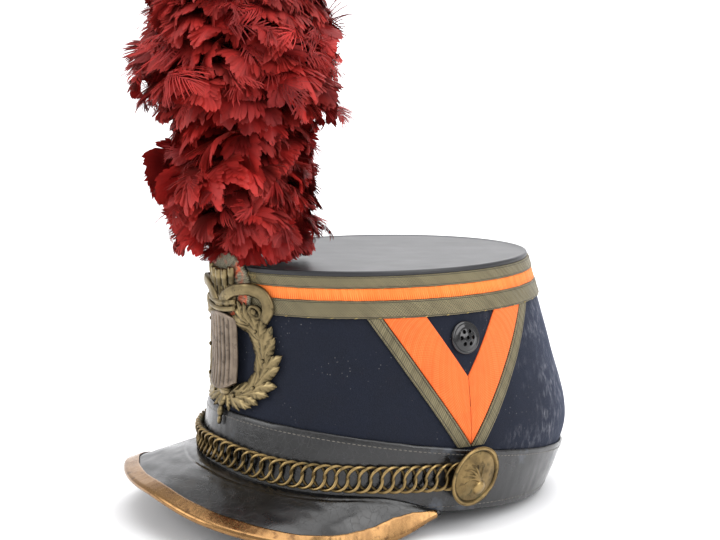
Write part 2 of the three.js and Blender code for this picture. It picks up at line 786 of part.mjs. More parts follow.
// The feathers' outer form, hollow round the stem and open below.
function plumeForm() {
  const sides = 20;
  const lobes = 7;
  const loop = (z, y, r, wave) => Array.from({ length: sides }, (_, i) => {
    const angle = (2 * Math.PI * i) / sides;
    const k = r * (1 + wave * Math.sin(lobes * angle + z * 0.09));
    return V3(k * Math.cos(angle), y + k * Math.sin(angle), z);
  });
  const rows = [...PLUME].reverse().map((row) => loop(row.z, row.y, row.r, 0.035));
  const mouth = STEM_R + 2.4;
  rows.push(loop(PLUME[0].z, PLUME_Y, mouth, 0), loop(PLUME[1].z + 4, PLUME_Y, mouth, 0));
  for (const row of PLUME.slice(2, -2)) rows.push(loop(row.z, row.y, row.r - PLUME_SKIN, 0));
  const last = PLUME[PLUME.length - 3];
  return stackedSolid(rows, V3(0, last.y, PLUME_TOP), V3(0, last.y, last.z + PLUME_SKIN));
}

// ---------------------------------------------------------------- looks and assembly

const LOOKS = {
  cloth: { color: '#20242e', roughness: 0.95, metalness: 0 },
  leather: { color: '#1d1d20', roughness: 0.45, metalness: 0 },
  lace: { color: '#7a7252', roughness: 0.7, metalness: 0.2 },
  orange: { color: '#f0803a', roughness: 0.9, metalness: 0 },
  brass: { color: '#a8895a', roughness: 0.35, metalness: 1 },
  old_brass: { color: '#8c8266', roughness: 0.5, metalness: 1 },
  japan: { color: '#15161a', roughness: 0.35, metalness: 0.3 },
  feather: { color: '#8e1f1f', roughness: 0.9, metalness: 0 },
};

const hat = new THREE.Group();

function add(name, geometry, look) {
  const mesh = new THREE.Mesh(geometry, new THREE.MeshStandardMaterial(LOOKS[look]));
  mesh.name = name;
  hat.add(mesh);
}

add('body_shell', bodyShell(), 'cloth');
add('crown_top', crownTop(), 'leather');
for (const row of TAPES) add(row.name, tape(row), row.look);
add('lower_band', lowerBand(), 'leather');
for (const [sideName, side] of [['left', 1], ['right', -1]]) {
  for (const [wayName, way] of [['front', -1], ['rear', 1]]) {
    add(`chevron_${sideName}_${wayName}`, chevronCloth(side, way), 'orange');
    add(`chevron_lace_${sideName}_${wayName}`, chevronLace(side, way), 'lace');
  }
  add(`boss_${sideName}`, boss(side), 'old_brass');
  add(`ventilator_${sideName}`, ventilator(side), 'japan');
}
add('visor', visorLeather(), 'leather');
add('visor_rim', visorRim(), 'brass');
chinChain().forEach((geometry, i) => add(`chin_chain_${i + 1}`, geometry, 'old_brass'));
add('cockade', cockade(), 'lace');
add('front_plate', frontPlate(), 'old_brass');
add('plume_stem', plumeStem(), 'japan');
add('plume', plumeForm(), 'feather');

// The origin is on the floor, under the middle of the hat's length.
const bounds = new THREE.Box3().setFromObject(hat);
hat.position.y = -(bounds.min.y + bounds.max.y) / 2;
hat.position.z = -bounds.min.z;

export default hat;
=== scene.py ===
# %% [markdown]
# A military shako, dressed in Blender
#
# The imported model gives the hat's pieces at their real size and place. This script gives them
# their looks: cloth, woven lace, old leather, brass, black japan and feathers. Most pieces are
# made again here as fine surfaces that follow the same body, because facets and a single colour
# would show. Everything is worked out in millimetres and put into the meshes in metres.

# %% Load the frame
import bpy
import numpy as np
from mathutils import Matrix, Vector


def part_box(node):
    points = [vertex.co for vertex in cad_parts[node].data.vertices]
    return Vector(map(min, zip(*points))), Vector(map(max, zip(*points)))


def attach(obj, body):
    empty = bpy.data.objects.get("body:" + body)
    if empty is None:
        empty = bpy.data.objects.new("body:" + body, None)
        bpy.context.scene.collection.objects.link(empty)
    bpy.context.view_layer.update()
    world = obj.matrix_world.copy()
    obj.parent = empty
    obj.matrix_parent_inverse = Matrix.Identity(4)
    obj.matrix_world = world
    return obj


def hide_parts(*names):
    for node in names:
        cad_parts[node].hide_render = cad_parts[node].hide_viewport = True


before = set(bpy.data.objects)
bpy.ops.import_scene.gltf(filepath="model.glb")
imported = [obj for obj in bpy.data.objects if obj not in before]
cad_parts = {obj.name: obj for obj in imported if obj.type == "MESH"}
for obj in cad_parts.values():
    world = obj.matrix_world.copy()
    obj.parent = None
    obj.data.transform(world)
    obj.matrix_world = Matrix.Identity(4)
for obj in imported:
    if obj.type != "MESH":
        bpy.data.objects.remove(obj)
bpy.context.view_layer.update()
MM = 0.001
TAU = 2 * np.pi

# %% [markdown]
# The body is an oval tube that flares towards the foot. Its plan at a few heights, the front and
# back edges and the half width, gives one smooth surface. Cloth, tapes, band, chain and plate all
# lie on it, so each of them is drawn as (angle, height, distance off the surface) and none can
# float or cut in. The angle runs from the front over the wearer's left.

# %% The body's surface
PLAN = np.array([
    # height share, front, back, half width (mm, before the frame's origin is added)
    (0.00, -103.0, 97.0, 81.0),
    (0.12, -99.5, 105.0, 84.0),
    (0.30, -94.5, 112.5, 87.3),
    (0.60, -90.0, 101.0, 83.3),
    (1.00, -91.5, 84.5, 74.8),
])
FOOT_SLOPE, FOOT_TOUCH_Y = 0.093, 100.0      # the foot's edge rises towards the front


def node_box(name):
    """A CAD node's lowest and highest corner in millimetres."""
    low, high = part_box(name)
    return np.array(low) / MM, np.array(high) / MM


def curve(x, y):
    """A smooth curve through points that never overshoots: a cubic between neighbours whose slope
    at each point is the harmonic mean of the slopes on both sides, or level at a turn."""
    x, y = np.asarray(x, float), np.asarray(y, float)
    step = np.diff(y) / np.diff(x)
    a, b = step[:-1], step[1:]
    inner = np.where(a * b > 0, 2 * a * b / np.where(a * b > 0, a + b, 1), 0)
    slope = np.concatenate([step[:1], inner, step[-1:]])

    def at(u):
        u = np.clip(u, x[0], x[-1])
        i = np.clip(np.searchsorted(x, u, side="right") - 1, 0, len(x) - 2)
        h = x[i + 1] - x[i]
        k = (u - x[i]) / h
        return ((2 * k**3 - 3 * k**2 + 1) * y[i] + (k**3 - 2 * k**2 + k) * h * slope[i]
                + (3 * k**2 - 2 * k**3) * y[i + 1] + (k**3 - k**2) * h * slope[i + 1])
    return at


crown_low, crown_high = node_box("crown_top")
band_low, band_high = node_box("lower_band")
TOP_Z = crown_high[2]
ORIGIN_Y = (crown_low[1] + crown_high[1]) / 2 - (PLAN[-1, 1] + PLAN[-1, 2]) / 2
front_at, back_at, half_at = (curve(PLAN[:, 0], PLAN[:, k]) for k in (1, 2, 3))


def foot_z(t):
    """Height of the foot's edge: level at the back, rising in a straight slope to the front."""
    y = (PLAN[0, 1] + PLAN[0, 2]) / 2 - (PLAN[0, 2] - PLAN[0, 1]) / 2 * np.cos(t)
    return band_low[2] + FOOT_SLOPE * (np.maximum(FOOT_TOUCH_Y - y, 0) - (FOOT_TOUCH_Y - PLAN[0, 2]))


def on_body(t, z, off=0.0):
    """Points at angle t and height z, off millimetres outside the oval, square to it in plan."""
    t, z, off = np.broadcast_arrays(np.asarray(t, float), z, off)
    low = foot_z(t)
    s = (z - low) / (TOP_Z - low)
    a, b = (back_at(s) - front_at(s)) / 2, half_at(s)
    n = np.stack([np.sin(t) / b, -np.cos(t) / a], -1)
    n /= np.linalg.norm(n, axis=-1, keepdims=True)
    x = b * np.sin(t) + n[..., 0] * off
    y = (back_at(s) + front_at(s)) / 2 - a * np.cos(t) + n[..., 1] * off + ORIGIN_Y
    return np.stack([x, y, z], -1)


def side_angle(z):
    """The angle where the body at height z crosses the side's middle line."""
    t = np.full(np.shape(z), np.pi / 2)
    for _ in range(6):
        speed = (on_body(t + 0.01, z)[..., 1] - on_body(t - 0.01, z)[..., 1]) / 0.02
        t = t - (on_body(t, z)[..., 1] - ORIGIN_Y) / speed
    return t


def angle_along(start, a, z, steps=16):
    """The angle that lies a millimetres along the body from angle start, at height z."""
    start, a, z = np.broadcast_arrays(start, a, z)
    t = start.astype(float)
    for _ in range(steps):
        speed = np.linalg.norm(on_body(t + 0.01, z) - on_body(t - 0.01, z), axis=-1) / 0.02
        t = t + a / steps / speed
    return t


def arc_table(z, n=2048):
    """Length along the body from the front at each of n + 1 angles, at one height."""
    t = np.linspace(0, TAU, n + 1)
    p = on_body(t, z)
    return t, np.concatenate([[0], np.cumsum(np.linalg.norm(np.diff(p, axis=0), axis=1))])


shell_low, shell_high = node_box("body_shell")
print("girth at the foot: %.0f mm" % arc_table(25.0)[1][-1])
print("the CAD wall reaches", shell_low.round(1), shell_high.round(1))

# %% [markdown]
# Every surface below is a grid of points. One helper turns such a grid into a mesh with its UV
# map, whose units are metres on the surface, so that a weave has its real size on every piece.
# A second gathers several grids into one mesh, and a third hands the piece to the frame.

# %% From grids to pieces
def grid_faces(shape, wrap=(False, False), flip=False):
    """Corner numbers of the quads of a grid, joined round where wrap says so."""
    index = np.arange(shape[0] * shape[1]).reshape(shape)
    if wrap[0]:
        index = np.vstack([index, index[:1]])
    if wrap[1]:
        index = np.hstack([index, index[:, :1]])
    quads = np.stack([index[:-1, :-1], index[1:, :-1], index[1:, 1:], index[:-1, 1:]], -1)
    return quads.reshape(-1, 4)[:, ::-1] if flip else quads.reshape(-1, 4)


def grid_uv(u, v):
    """UV at each quad's four corners from u and v on the grid's lines. A direction that is joined
    round has one line more than the grid has points."""
    uv = np.stack([u, v], -1)
    return np.stack([uv[:-1, :-1], uv[1:, :-1], uv[1:, 1:], uv[:-1, 1:]], -2).reshape(-1, 4, 2)


def build(name, points, quads, uv, values=None):
    """A mesh object from points in millimetres, quads, corner UV in metres and point values."""
    mesh = bpy.data.meshes.new(name)
    points = np.asarray(points, float).reshape(-1, 3) * MM
    mesh.vertices.add(len(points))
    mesh.vertices.foreach_set("co", points.astype(np.float32).ravel())
    mesh.loops.add(quads.size)
    mesh.loops.foreach_set("vertex_index", np.ascontiguousarray(quads, dtype=np.int32).ravel())
    mesh.polygons.add(len(quads))
    mesh.polygons.foreach_set("loop_start", np.arange(0, quads.size, 4, dtype=np.int32))
    layer = mesh.uv_layers.new(name="surface")
    layer.data.foreach_set("uv", np.ascontiguousarray(uv, dtype=np.float32).ravel())
    for key, value in (values or {}).items():
        layer = mesh.attributes.new(key, "FLOAT", "POINT")
        layer.data.foreach_set("value", np.asarray(value, np.float32).ravel())
    mesh.update(calc_edges=True)
    mesh.validate()
    mesh.polygons.foreach_set("use_smooth", np.full(len(mesh.polygons), True))
    piece = bpy.data.objects.new(name, mesh)
    bpy.context.scene.collection.objects.link(piece)
    return piece


class Heap:
    """Gathers grids that belong to one piece."""
    def __init__(self):
        self.points, self.quads, self.uv, self.count = [], [], [], 0

    def add(self, grid, wrap=(False, False), flip=False, uv=None):
        faces = grid_faces(grid.shape[:2], wrap, flip)
        self.points.append(grid.reshape(-1, 3))
        self.quads.append(faces + self.count)
        self.uv.append(np.zeros((len(faces), 4, 2)) if uv is None else (uv[:, ::-1] if flip else uv))
        self.count += grid.shape[0] * grid.shape[1]

    def build(self, name, values=None):
        return build(name, np.concatenate(self.points), np.concatenate(self.quads),
                     np.concatenate(self.uv), values)


def hand_over(piece, slot, material, *nodes):
    """The piece takes its material, rides on the hat and stands for its CAD nodes."""
    piece.data.materials.clear()
    piece.data.materials.append(material)
    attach(piece, "root")
    if nodes:
        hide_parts(*nodes)
    print("%-20s %7d faces" % (piece.name, len(piece.data.polygons)))
    return piece


def smooth(x, low, high):
    """0 below low, 1 above high, and between them three squares less two cubes of the share."""
    k = np.clip((x - low) / (high - low), 0, 1)
    return k * k * (3 - 2 * k)


def ripple(a, b, seed, terms=7, rough=1.0):
    """Soft random swell of about -1 to 1: a sum of sine waves in two directions with seeded phases."""
    rng = np.random.default_rng(seed)
    total = 0
    for k in range(terms):
        fa, fb = rng.normal(0, 1 + rough * k, 2)
        total = total + np.sin(fa * a + fb * b + rng.uniform(0, TAU)) / (1 + 0.35 * k)
    return total / 3.2

# %% [markdown]
# Materials come next. A short helper places a node and links or sets its inputs, so that each
# finish reads as a list of what it mixes. Effects that several finishes share, such as wear,
# dust, a woven ground and leather grain, are node groups with named inputs and outputs.

# %% Node helpers
def put(tree, kind, inputs=None, **props):
    """A node of the kind, with its properties set and its inputs set or linked."""
    node = tree.nodes.new(kind)
    for key, value in props.items():
        setattr(node, key, value)
    for key, value in (inputs or {}).items():
        socket = node.inputs[key]
        if isinstance(value, bpy.types.NodeSocket):
            tree.links.new(value, socket)
        else:
            socket.default_value = value
    return node


def maths(tree, operation, a, b=0.0):
    """One sum, product or other operation on one or two values."""
    return put(tree, "ShaderNodeMath", {0: a, 1: b}, operation=operation).outputs[0]


def blend_colour(tree, mask, a, b):
    """Colour a where the mask is 0 and colour b where it is 1."""
    return put(tree, "ShaderNodeMix", {"Factor": mask, 6: a, 7: b}, data_type="RGBA").outputs[2]


def remap(tree, value, low, high, to_low=0.0, to_high=1.0):
    """The value carried from one range to another and held at its ends."""
    node = put(tree, "ShaderNodeMapRange",
               {"Value": value, "From Min": low, "From Max": high, "To Min": to_low, "To Max": to_high})
    return node.outputs[0]


def noise(tree, vector, scale, detail=4.0, rough=0.55):
    """Cloudy noise: scale in cells to the metre, detail in octaves."""
    return put(tree, "ShaderNodeTexNoise", {"Vector": vector, "Scale": scale, "Detail": detail,
                                            "Roughness": rough}).outputs["Fac"]


def stretched(tree, vector, x=1.0, y=1.0, z=1.0):
    """Coordinates scaled by themselves in x, y and z, so that a pattern becomes streaks."""
    return put(tree, "ShaderNodeMapping", {"Vector": vector, "Scale": (x, y, z)}).outputs[0]


def new_group(name, inputs, outputs):
    """An empty node group with float, vector or colour sockets, given as {name: kind}."""
    kinds = {"value": "NodeSocketFloat", "vector": "NodeSocketVector", "colour": "NodeSocketColor"}
    tree = bpy.data.node_groups.new(name, "ShaderNodeTree")
    for key, kind in inputs.items():
        tree.interface.new_socket(key, in_out="INPUT", socket_type=kinds[kind])
    for key, kind in outputs.items():
        tree.interface.new_socket(key, in_out="OUTPUT", socket_type=kinds[kind])
    return tree, tree.nodes.new("NodeGroupInput").outputs, tree.nodes.new("NodeGroupOutput")


def use(tree, group, inputs):
    """A shared effect placed in a material with its own values; gives its outputs."""
    node = put(tree, "ShaderNodeGroup", node_tree=group)
    for key, value in inputs.items():
        if isinstance(value, bpy.types.NodeSocket):
            tree.links.new(value, node.inputs[key])
        else:
            node.inputs[key].default_value = value
    return node.outputs


def finish(name, metallic=0.0, coat=0.0, sheen=0.0, specular=0.5):
    """A material with its Principled shader: constants are set on the shader itself."""
    material = bpy.data.materials.new(name)
    material.use_nodes = True
    tree = material.node_tree
    shader = tree.nodes["Principled BSDF"]
    shader.inputs["Metallic"].default_value = metallic
    shader.inputs["Coat Weight"].default_value = coat
    shader.inputs["Sheen Weight"].default_value = sheen
    shader.inputs["Specular IOR Level"].default_value = specular
    return material, tree, shader


def surface(tree, shader, colour, roughness, height=None, strength=0.5, distance=0.0004):
    """Links colour, roughness and a bump made from a height to the shader."""
    tree.links.new(colour, shader.inputs["Base Color"])
    tree.links.new(roughness, shader.inputs["Roughness"])
    if height is not None:
        bump = put(tree, "ShaderNodeBump", {"Height": height, "Strength": strength, "Distance": distance})
        tree.links.new(bump.outputs[0], shader.inputs["Normal"])

# %% [markdown]
# Four effects come back in several finishes: cloudy wear, grains of lint, the threads of a weave,
# and the pebble and cracks of leather. Each could be drawn anew in every material. A node group
# with named inputs is shorter, and each finish then sets its own scale and strength.

# %% Shared effects
# patches: cloudy marks at a chosen scale, cut off softly at a level
patches, given, result = new_group("patches", {"Vector": "vector", "Scale": "value", "Level": "value",
                                               "Soft": "value"}, {"Mask": "value"})
clouds = put(patches, "ShaderNodeTexNoise", {"Vector": given["Vector"], "Scale": given["Scale"],
                                             "Detail": 7.0, "Roughness": 0.62}).outputs["Fac"]
full = maths(patches, "ADD", given["Level"], given["Soft"])
patches.links.new(remap(patches, clouds, given["Level"], full), result.inputs["Mask"])

# specks: small scattered grains of lint or dust, thinned out by a cloudy mask
specks, given, result = new_group("specks", {"Vector": "vector", "Scale": "value", "Size": "value"},
                                  {"Mask": "value"})
cells = put(specks, "ShaderNodeTexVoronoi", {"Vector": given["Vector"], "Scale": given["Scale"],
                                             "Randomness": 1.0}).outputs["Distance"]
grain = remap(specks, cells, given["Size"], 0.0)
where = remap(specks, noise(specks, given["Vector"], 38.0, 3.0), 0.5, 0.66)
specks.links.new(maths(specks, "MULTIPLY", grain, where), result.inputs["Mask"])

# threads: a plain weave on the surface's own UV, u and v being threads to the metre
threads, given, result = new_group("threads", {"Vector": "vector", "Along": "value", "Across": "value"},
                                   {"Height": "value", "Tone": "value"})
uv_parts = put(threads, "ShaderNodeSeparateXYZ", {0: given["Vector"]}).outputs
thread_u = maths(threads, "MULTIPLY", uv_parts[0], given["Along"])
thread_v = maths(threads, "MULTIPLY", uv_parts[1], given["Across"])
slants = [maths(threads, how, thread_u, thread_v) for how in ("ADD", "SUBTRACT")]
ridges = [maths(threads, "ABSOLUTE", maths(threads, "SINE", maths(threads, "MULTIPLY", slant, np.pi)))
          for slant in slants]
threads.links.new(maths(threads, "MAXIMUM", *ridges), result.inputs["Height"])
shade = put(threads, "ShaderNodeTexWhiteNoise", {"W": maths(threads, "FLOOR", slants[0])},
            noise_dimensions="1D").outputs["Value"]
threads.links.new(shade, result.inputs["Tone"])

# hide: leather's fine pebble with a net of cracks
hide, given, result = new_group("hide", {"Vector": "vector", "Pebble": "value", "Crack": "value"},
                                {"Height": "value", "Cracks": "value"})
pebbles = put(hide, "ShaderNodeTexVoronoi", {"Vector": given["Vector"], "Scale": given["Pebble"]},
              feature="SMOOTH_F1").outputs["Distance"]
warp = put(hide, "ShaderNodeTexNoise", {"Vector": given["Vector"], "Scale": 60.0, "Detail": 3.0})
push = put(hide, "ShaderNodeVectorMath", {0: warp.outputs["Color"], "Scale": 0.012}, operation="SCALE")
bent = put(hide, "ShaderNodeVectorMath", {0: given["Vector"], 1: push.outputs[0]}, operation="ADD")
gaps = put(hide, "ShaderNodeTexVoronoi", {"Vector": bent.outputs[0], "Scale": given["Crack"]},
           feature="DISTANCE_TO_EDGE").outputs["Distance"]
where = remap(hide, noise(hide, given["Vector"], 22.0, 2.0), 0.46, 0.6)
cracks = maths(hide, "MULTIPLY", remap(hide, gaps, 0.0, 0.035, 1.0, 0.0), where)
hide.links.new(cracks, result.inputs["Cracks"])
hide.links.new(maths(hide, "SUBTRACT", maths(hide, "MULTIPLY", pebbles, 0.5), cracks), result.inputs["Height"])
print("shared effects:", [g.name for g in bpy.data.node_groups])

# %% [markdown]
# The shako's wall is felted navy wool. It drinks up light, glows faintly at grazing angles,
# and gathers lint and dust, more of it towards the back where hands hold it. So the cloth gets a
# dark blue ground, a short fuzz in the bump, sheen, specks, and chalky streaks that run upright.

# %% Cloth, lace and tape finishes
def linear(r, g, b):
    """A colour given as 0 to 255 display values, turned into the linear values shaders use."""
    c = np.array([r, g, b]) / 255
    c = np.where(c <= 0.04045, c / 12.92, ((c + 0.055) / 1.055) ** 2.4)
    return (*c.tolist(), 1.0)


def object_coords(tree):
    """The place in metres, which for these pieces is the place on the hat."""
    return put(tree, "ShaderNodeTexCoord").outputs["Object"]


def surface_uv(tree):
    """The piece's own UV map, in metres along and across the surface."""
    return put(tree, "ShaderNodeUVMap", uv_map="surface").outputs[0]


cloth, tree, shader = finish("navy_wool", sheen=0.35, specular=0.2)
shader.inputs["Sheen Roughness"].default_value = 0.5
shader.inputs["Sheen Tint"].default_value = linear(120, 130, 160)
xyz = object_coords(tree)
mottle = noise(tree, xyz, 55.0, 6.0, 0.6)
colour = blend_colour(tree, mottle, linear(12, 14, 21), linear(27, 31, 42))
fuzz = noise(tree, stretched(tree, xyz, 1, 1, 0.6), 2600.0, 3.0, 0.7)
colour = blend_colour(tree, remap(tree, fuzz, 0.4, 0.75, 0.0, 0.35), colour, linear(44, 49, 64))
split = put(tree, "ShaderNodeSeparateXYZ", {0: xyz})
rear = remap(tree, split.outputs[1], 0.015, 0.06)
streak = noise(tree, stretched(tree, xyz, 330, 330, 130), 1.0, 5.0, 0.65)
dusty = maths(tree, "MULTIPLY", remap(tree, streak, 0.48, 0.7), rear)
cloud = use(tree, patches, {"Vector": xyz, "Scale": 28.0, "Level": 0.44, "Soft": 0.16})["Mask"]
dusty = maths(tree, "MULTIPLY", dusty, cloud)
colour = blend_colour(tree, maths(tree, "MULTIPLY", dusty, 0.62), colour, linear(132, 132, 138))
lint = use(tree, specks, {"Vector": xyz, "Scale": 420.0, "Size": 0.16})["Mask"]
colour = blend_colour(tree, maths(tree, "MULTIPLY", lint, 0.75), colour, linear(150, 148, 146))
surface(tree, shader, colour, remap(tree, mottle, 0.3, 0.7, 0.85, 1.0), fuzz, 0.35, 0.0003)


def woven(name, dark, light, along, across, metallic, rough, depth, edge=None, specular=0.35):
    """Tape or lace: threads at their real count on the surface, tone from thread to thread, grime.
    edge holds the tape's width and lines along it, each as two shares of the width and a colour."""
    material, tree, shader = finish(name, metallic=metallic, specular=specular, sheen=0.05)
    uv, xyz = surface_uv(tree), object_coords(tree)
    weave = use(tree, threads, {"Vector": uv, "Along": along, "Across": across})
    colour = blend_colour(tree, remap(tree, weave["Height"], 0.5, 1.0), dark, light)
    colour = blend_colour(tree, maths(tree, "MULTIPLY", weave["Tone"], 0.3), colour, dark)
    grime = use(tree, patches, {"Vector": xyz, "Scale": 70.0, "Level": 0.48, "Soft": 0.25})["Mask"]
    colour = blend_colour(tree, maths(tree, "MULTIPLY", grime, 0.4), colour, dark)
    height = maths(tree, "ADD", weave["Height"], maths(tree, "MULTIPLY", weave["Tone"], 0.25))
    if edge is not None:
        side = put(tree, "ShaderNodeSeparateXYZ", {0: uv}).outputs[1]
        width, lines = edge
        for low, high, tone in lines:
            inside = maths(tree, "MULTIPLY", maths(tree, "GREATER_THAN", side, low * width * MM),
                           maths(tree, "LESS_THAN", side, high * width * MM))
            colour = blend_colour(tree, maths(tree, "MULTIPLY", inside, 0.8), colour, tone)
    gloss = remap(tree, weave["Tone"], 0.0, 1.0, rough - 0.08, rough + 0.12)
    surface(tree, shader, colour, gloss, height, depth, 0.0003)
    return material


OLD_GOLD, PALE_GOLD, DEEP_GOLD = linear(66, 61, 46), linear(134, 124, 94), linear(46, 42, 33)
lace = woven("tarnished_gold_lace", OLD_GOLD, PALE_GOLD, 700.0, 700.0, 0.35, 0.5, 0.6,
             edge=(8.8, [(0.06, 0.11, DEEP_GOLD), (0.88, 0.93, DEEP_GOLD)]))
lace_narrow = woven("tarnished_gold_lace_upper", OLD_GOLD, PALE_GOLD, 700.0, 700.0, 0.35, 0.5, 0.6,
                    edge=(6.1, [(0.10, 0.16, DEEP_GOLD), (0.84, 0.90, DEEP_GOLD)]))
lace_side = woven("tarnished_gold_lace_side", OLD_GOLD, PALE_GOLD, 820.0, 820.0, 0.35, 0.5, 0.6,
                  edge=(7.7, [(0.14, 0.22, DEEP_GOLD), (0.78, 0.86, DEEP_GOLD)]))
tape_ribbed = woven("orange_ribbed_tape", linear(222, 92, 26), linear(252, 142, 64), 900.0, 60.0,
                    0.0, 0.75, 0.5)
tape_twill = woven("orange_twill_tape", linear(226, 84, 28), linear(250, 124, 58), 1050.0, 620.0, 0.0, 0.8, 0.5)
bow_lace = woven("tarnished_pleated_lace", linear(84, 80, 66), linear(158, 152, 128), 900.0, 500.0,
                 0.3, 0.5, 0.6)
# the cockade's lace keeps the rest of an orange ring, set by the distance from its centre
tree = bow_lace.node_tree
shader = tree.nodes["Principled BSDF"]
radius = put(tree, "ShaderNodeSeparateXYZ", {0: surface_uv(tree)}).outputs[1]
ring = maths(tree, "MULTIPLY", remap(tree, radius, 0.0128, 0.0145), remap(tree, radius, 0.0202, 0.0190))
worn = use(tree, patches, {"Vector": object_coords(tree), "Scale": 95.0, "Level": 0.42, "Soft": 0.12})["Mask"]
lace_colour = shader.inputs["Base Color"].links[0].from_socket
ringed = blend_colour(tree, maths(tree, "MULTIPLY", ring, worn), lace_colour, linear(206, 92, 56))
tree.links.new(ringed, shader.inputs["Base Color"])
print("woven finishes:", [m.name for m in bpy.data.materials])

# %% [markdown]
# The top, the headband and the peak are blackened leather. Old leather has a fine pebble, a net of
# cracks that show the paler hide, and worn places that have gone bluish white or brown. The
# same grain group feeds all three, with its own gloss and wear for each.

# %% Leather finishes
PEBBLE = 1300.0                                  # grains of the hide to the metre


def leather(name, dark, worn, scale, level, gloss, coat, crack_colour, crack, amount, bump=0.3, uneven=1.0):
    """Blackened leather: pebble and cracks, worn places at a scale and level, smeared gloss."""
    material, tree, shader = finish(name, coat=coat, specular=0.5)
    shader.inputs["Coat Roughness"].default_value = 0.22
    xyz = object_coords(tree)
    grain = use(tree, hide, {"Vector": xyz, "Pebble": PEBBLE, "Crack": crack})
    wear = use(tree, patches, {"Vector": xyz, "Scale": scale, "Level": level, "Soft": 0.16})["Mask"]
    paler = tuple(min(1.0, c * 1.9) for c in dark[:3]) + (1.0,)
    colour = blend_colour(tree, noise(tree, xyz, 30.0, 5.0), dark, paler)
    colour = blend_colour(tree, maths(tree, "MULTIPLY", wear, amount), colour, worn)
    colour = blend_colour(tree, maths(tree, "MULTIPLY", grain["Cracks"], 0.75), colour, crack_colour)
    smear = noise(tree, xyz, 45.0, 5.0, 0.6)
    rough = remap(tree, smear, 0.3, 0.7, gloss - 0.08 * uneven, gloss + 0.16 * uneven)
    rough = maths(tree, "ADD", rough, maths(tree, "MULTIPLY", wear, 0.2 * uneven))
    surface(tree, shader, colour, rough, grain["Height"], bump, 0.0003)
    return material


crown_leather = leather("crown_leather", linear(22, 22, 25), linear(48, 48, 50), 20.0, 0.56, 0.46, 0.1,
                        linear(26, 26, 28), crack=40.0, amount=0.2, bump=0.1, uneven=0.2)
band_leather = leather("headband_leather", linear(8, 8, 9), linear(112, 120, 134), 38.0, 0.6, 0.26, 0.3,
                       linear(46, 46, 48), crack=330.0, amount=0.55)
peak_leather = leather("visor_leather", linear(8, 8, 9), linear(70, 62, 54), 34.0, 0.58, 0.3, 0.35,
                       linear(34, 31, 29), crack=260.0, amount=0.45)
print("leathers:", crown_leather.name, band_leather.name, peak_leather.name)

# %% [markdown]
# The metal is brass in four states. The peak's binding is rubbed bright, the bosses and the chain
# have gone olive brown, and the plate and its shield are darker still. The hollows between their
# raised parts hold green tarnish. Each
# raised surface carries a point value for how high it stands, which drives colour and gloss.

# %% Metal and japan finishes
def brass(name, high, low, green, rough):
    """Old brass: colour and gloss go from low in the hollows to high on what stands up and is rubbed."""
    material, tree, shader = finish(name, metallic=1.0)
    xyz = object_coords(tree)
    relief = put(tree, "ShaderNodeAttribute", attribute_name="relief", attribute_type="GEOMETRY").outputs["Fac"]
    cloudy = noise(tree, xyz, 90.0, 6.0, 0.62)
    stand = maths(tree, "ADD", relief, remap(tree, cloudy, 0.3, 0.7, -0.25, 0.25))
    colour = blend_colour(tree, remap(tree, stand, 0.15, 0.85), low, high)
    spots = use(tree, patches, {"Vector": xyz, "Scale": 240.0, "Level": 0.56, "Soft": 0.1})["Mask"]
    colour = blend_colour(tree, maths(tree, "MULTIPLY", spots, 0.6), colour, low)
    bloom = use(tree, patches, {"Vector": xyz, "Scale": 120.0, "Level": 0.57, "Soft": 0.14})["Mask"]
    bloom = maths(tree, "MULTIPLY", bloom, remap(tree, relief, 0.2, 0.7, 0.8, 0.15))
    colour = blend_colour(tree, bloom, colour, green)
    scratch = noise(tree, stretched(tree, xyz, 900, 900, 140), 1.0, 3.0)
    r = remap(tree, stand, 0.1, 0.9, rough + 0.25, rough)
    r = maths(tree, "ADD", r, maths(tree, "MULTIPLY", maths(tree, "SUBTRACT", scratch, 0.5), 0.2))
    height = maths(tree, "ADD", cloudy, maths(tree, "MULTIPLY", scratch, 0.3))
    surface(tree, shader, colour, r, height, 0.12, 0.0003)
    return material


bright_brass = brass("rubbed_brass", linear(152, 116, 76), linear(84, 58, 42), linear(70, 64, 46), 0.22)
old_brass = brass("aged_brass", linear(156, 132, 88), linear(52, 44, 31), linear(80, 86, 66), 0.33)
plate_brass = brass("plate_bronze", linear(140, 124, 90), linear(36, 32, 25), linear(84, 84, 70), 0.34)
shield_brass = brass("shield_bronze", linear(132, 118, 104), linear(46, 40, 35), linear(88, 84, 74), 0.38)

japan, tree, shader = finish("black_japan", coat=0.3)
xyz = object_coords(tree)
film = noise(tree, xyz, 160.0, 4.0)
colour = blend_colour(tree, film, linear(5, 5, 6), linear(15, 15, 18))
surface(tree, shader, colour, remap(tree, film, 0.3, 0.7, 0.1, 0.2), noise(tree, xyz, 700.0, 2.0), 0.08, 0.0002)
print("metals:", bright_brass.name, old_brass.name, plate_brass.name, shield_brass.name, japan.name)

# %% [markdown]
# Thread, feather quills and the feathers' barbs: a feather is paler along its shaft, deep red in
# its body and brighter where thin barbs let light through, so its colour follows two point
# values, one for the single feather and one that runs from the shaft out to the barb's tip.

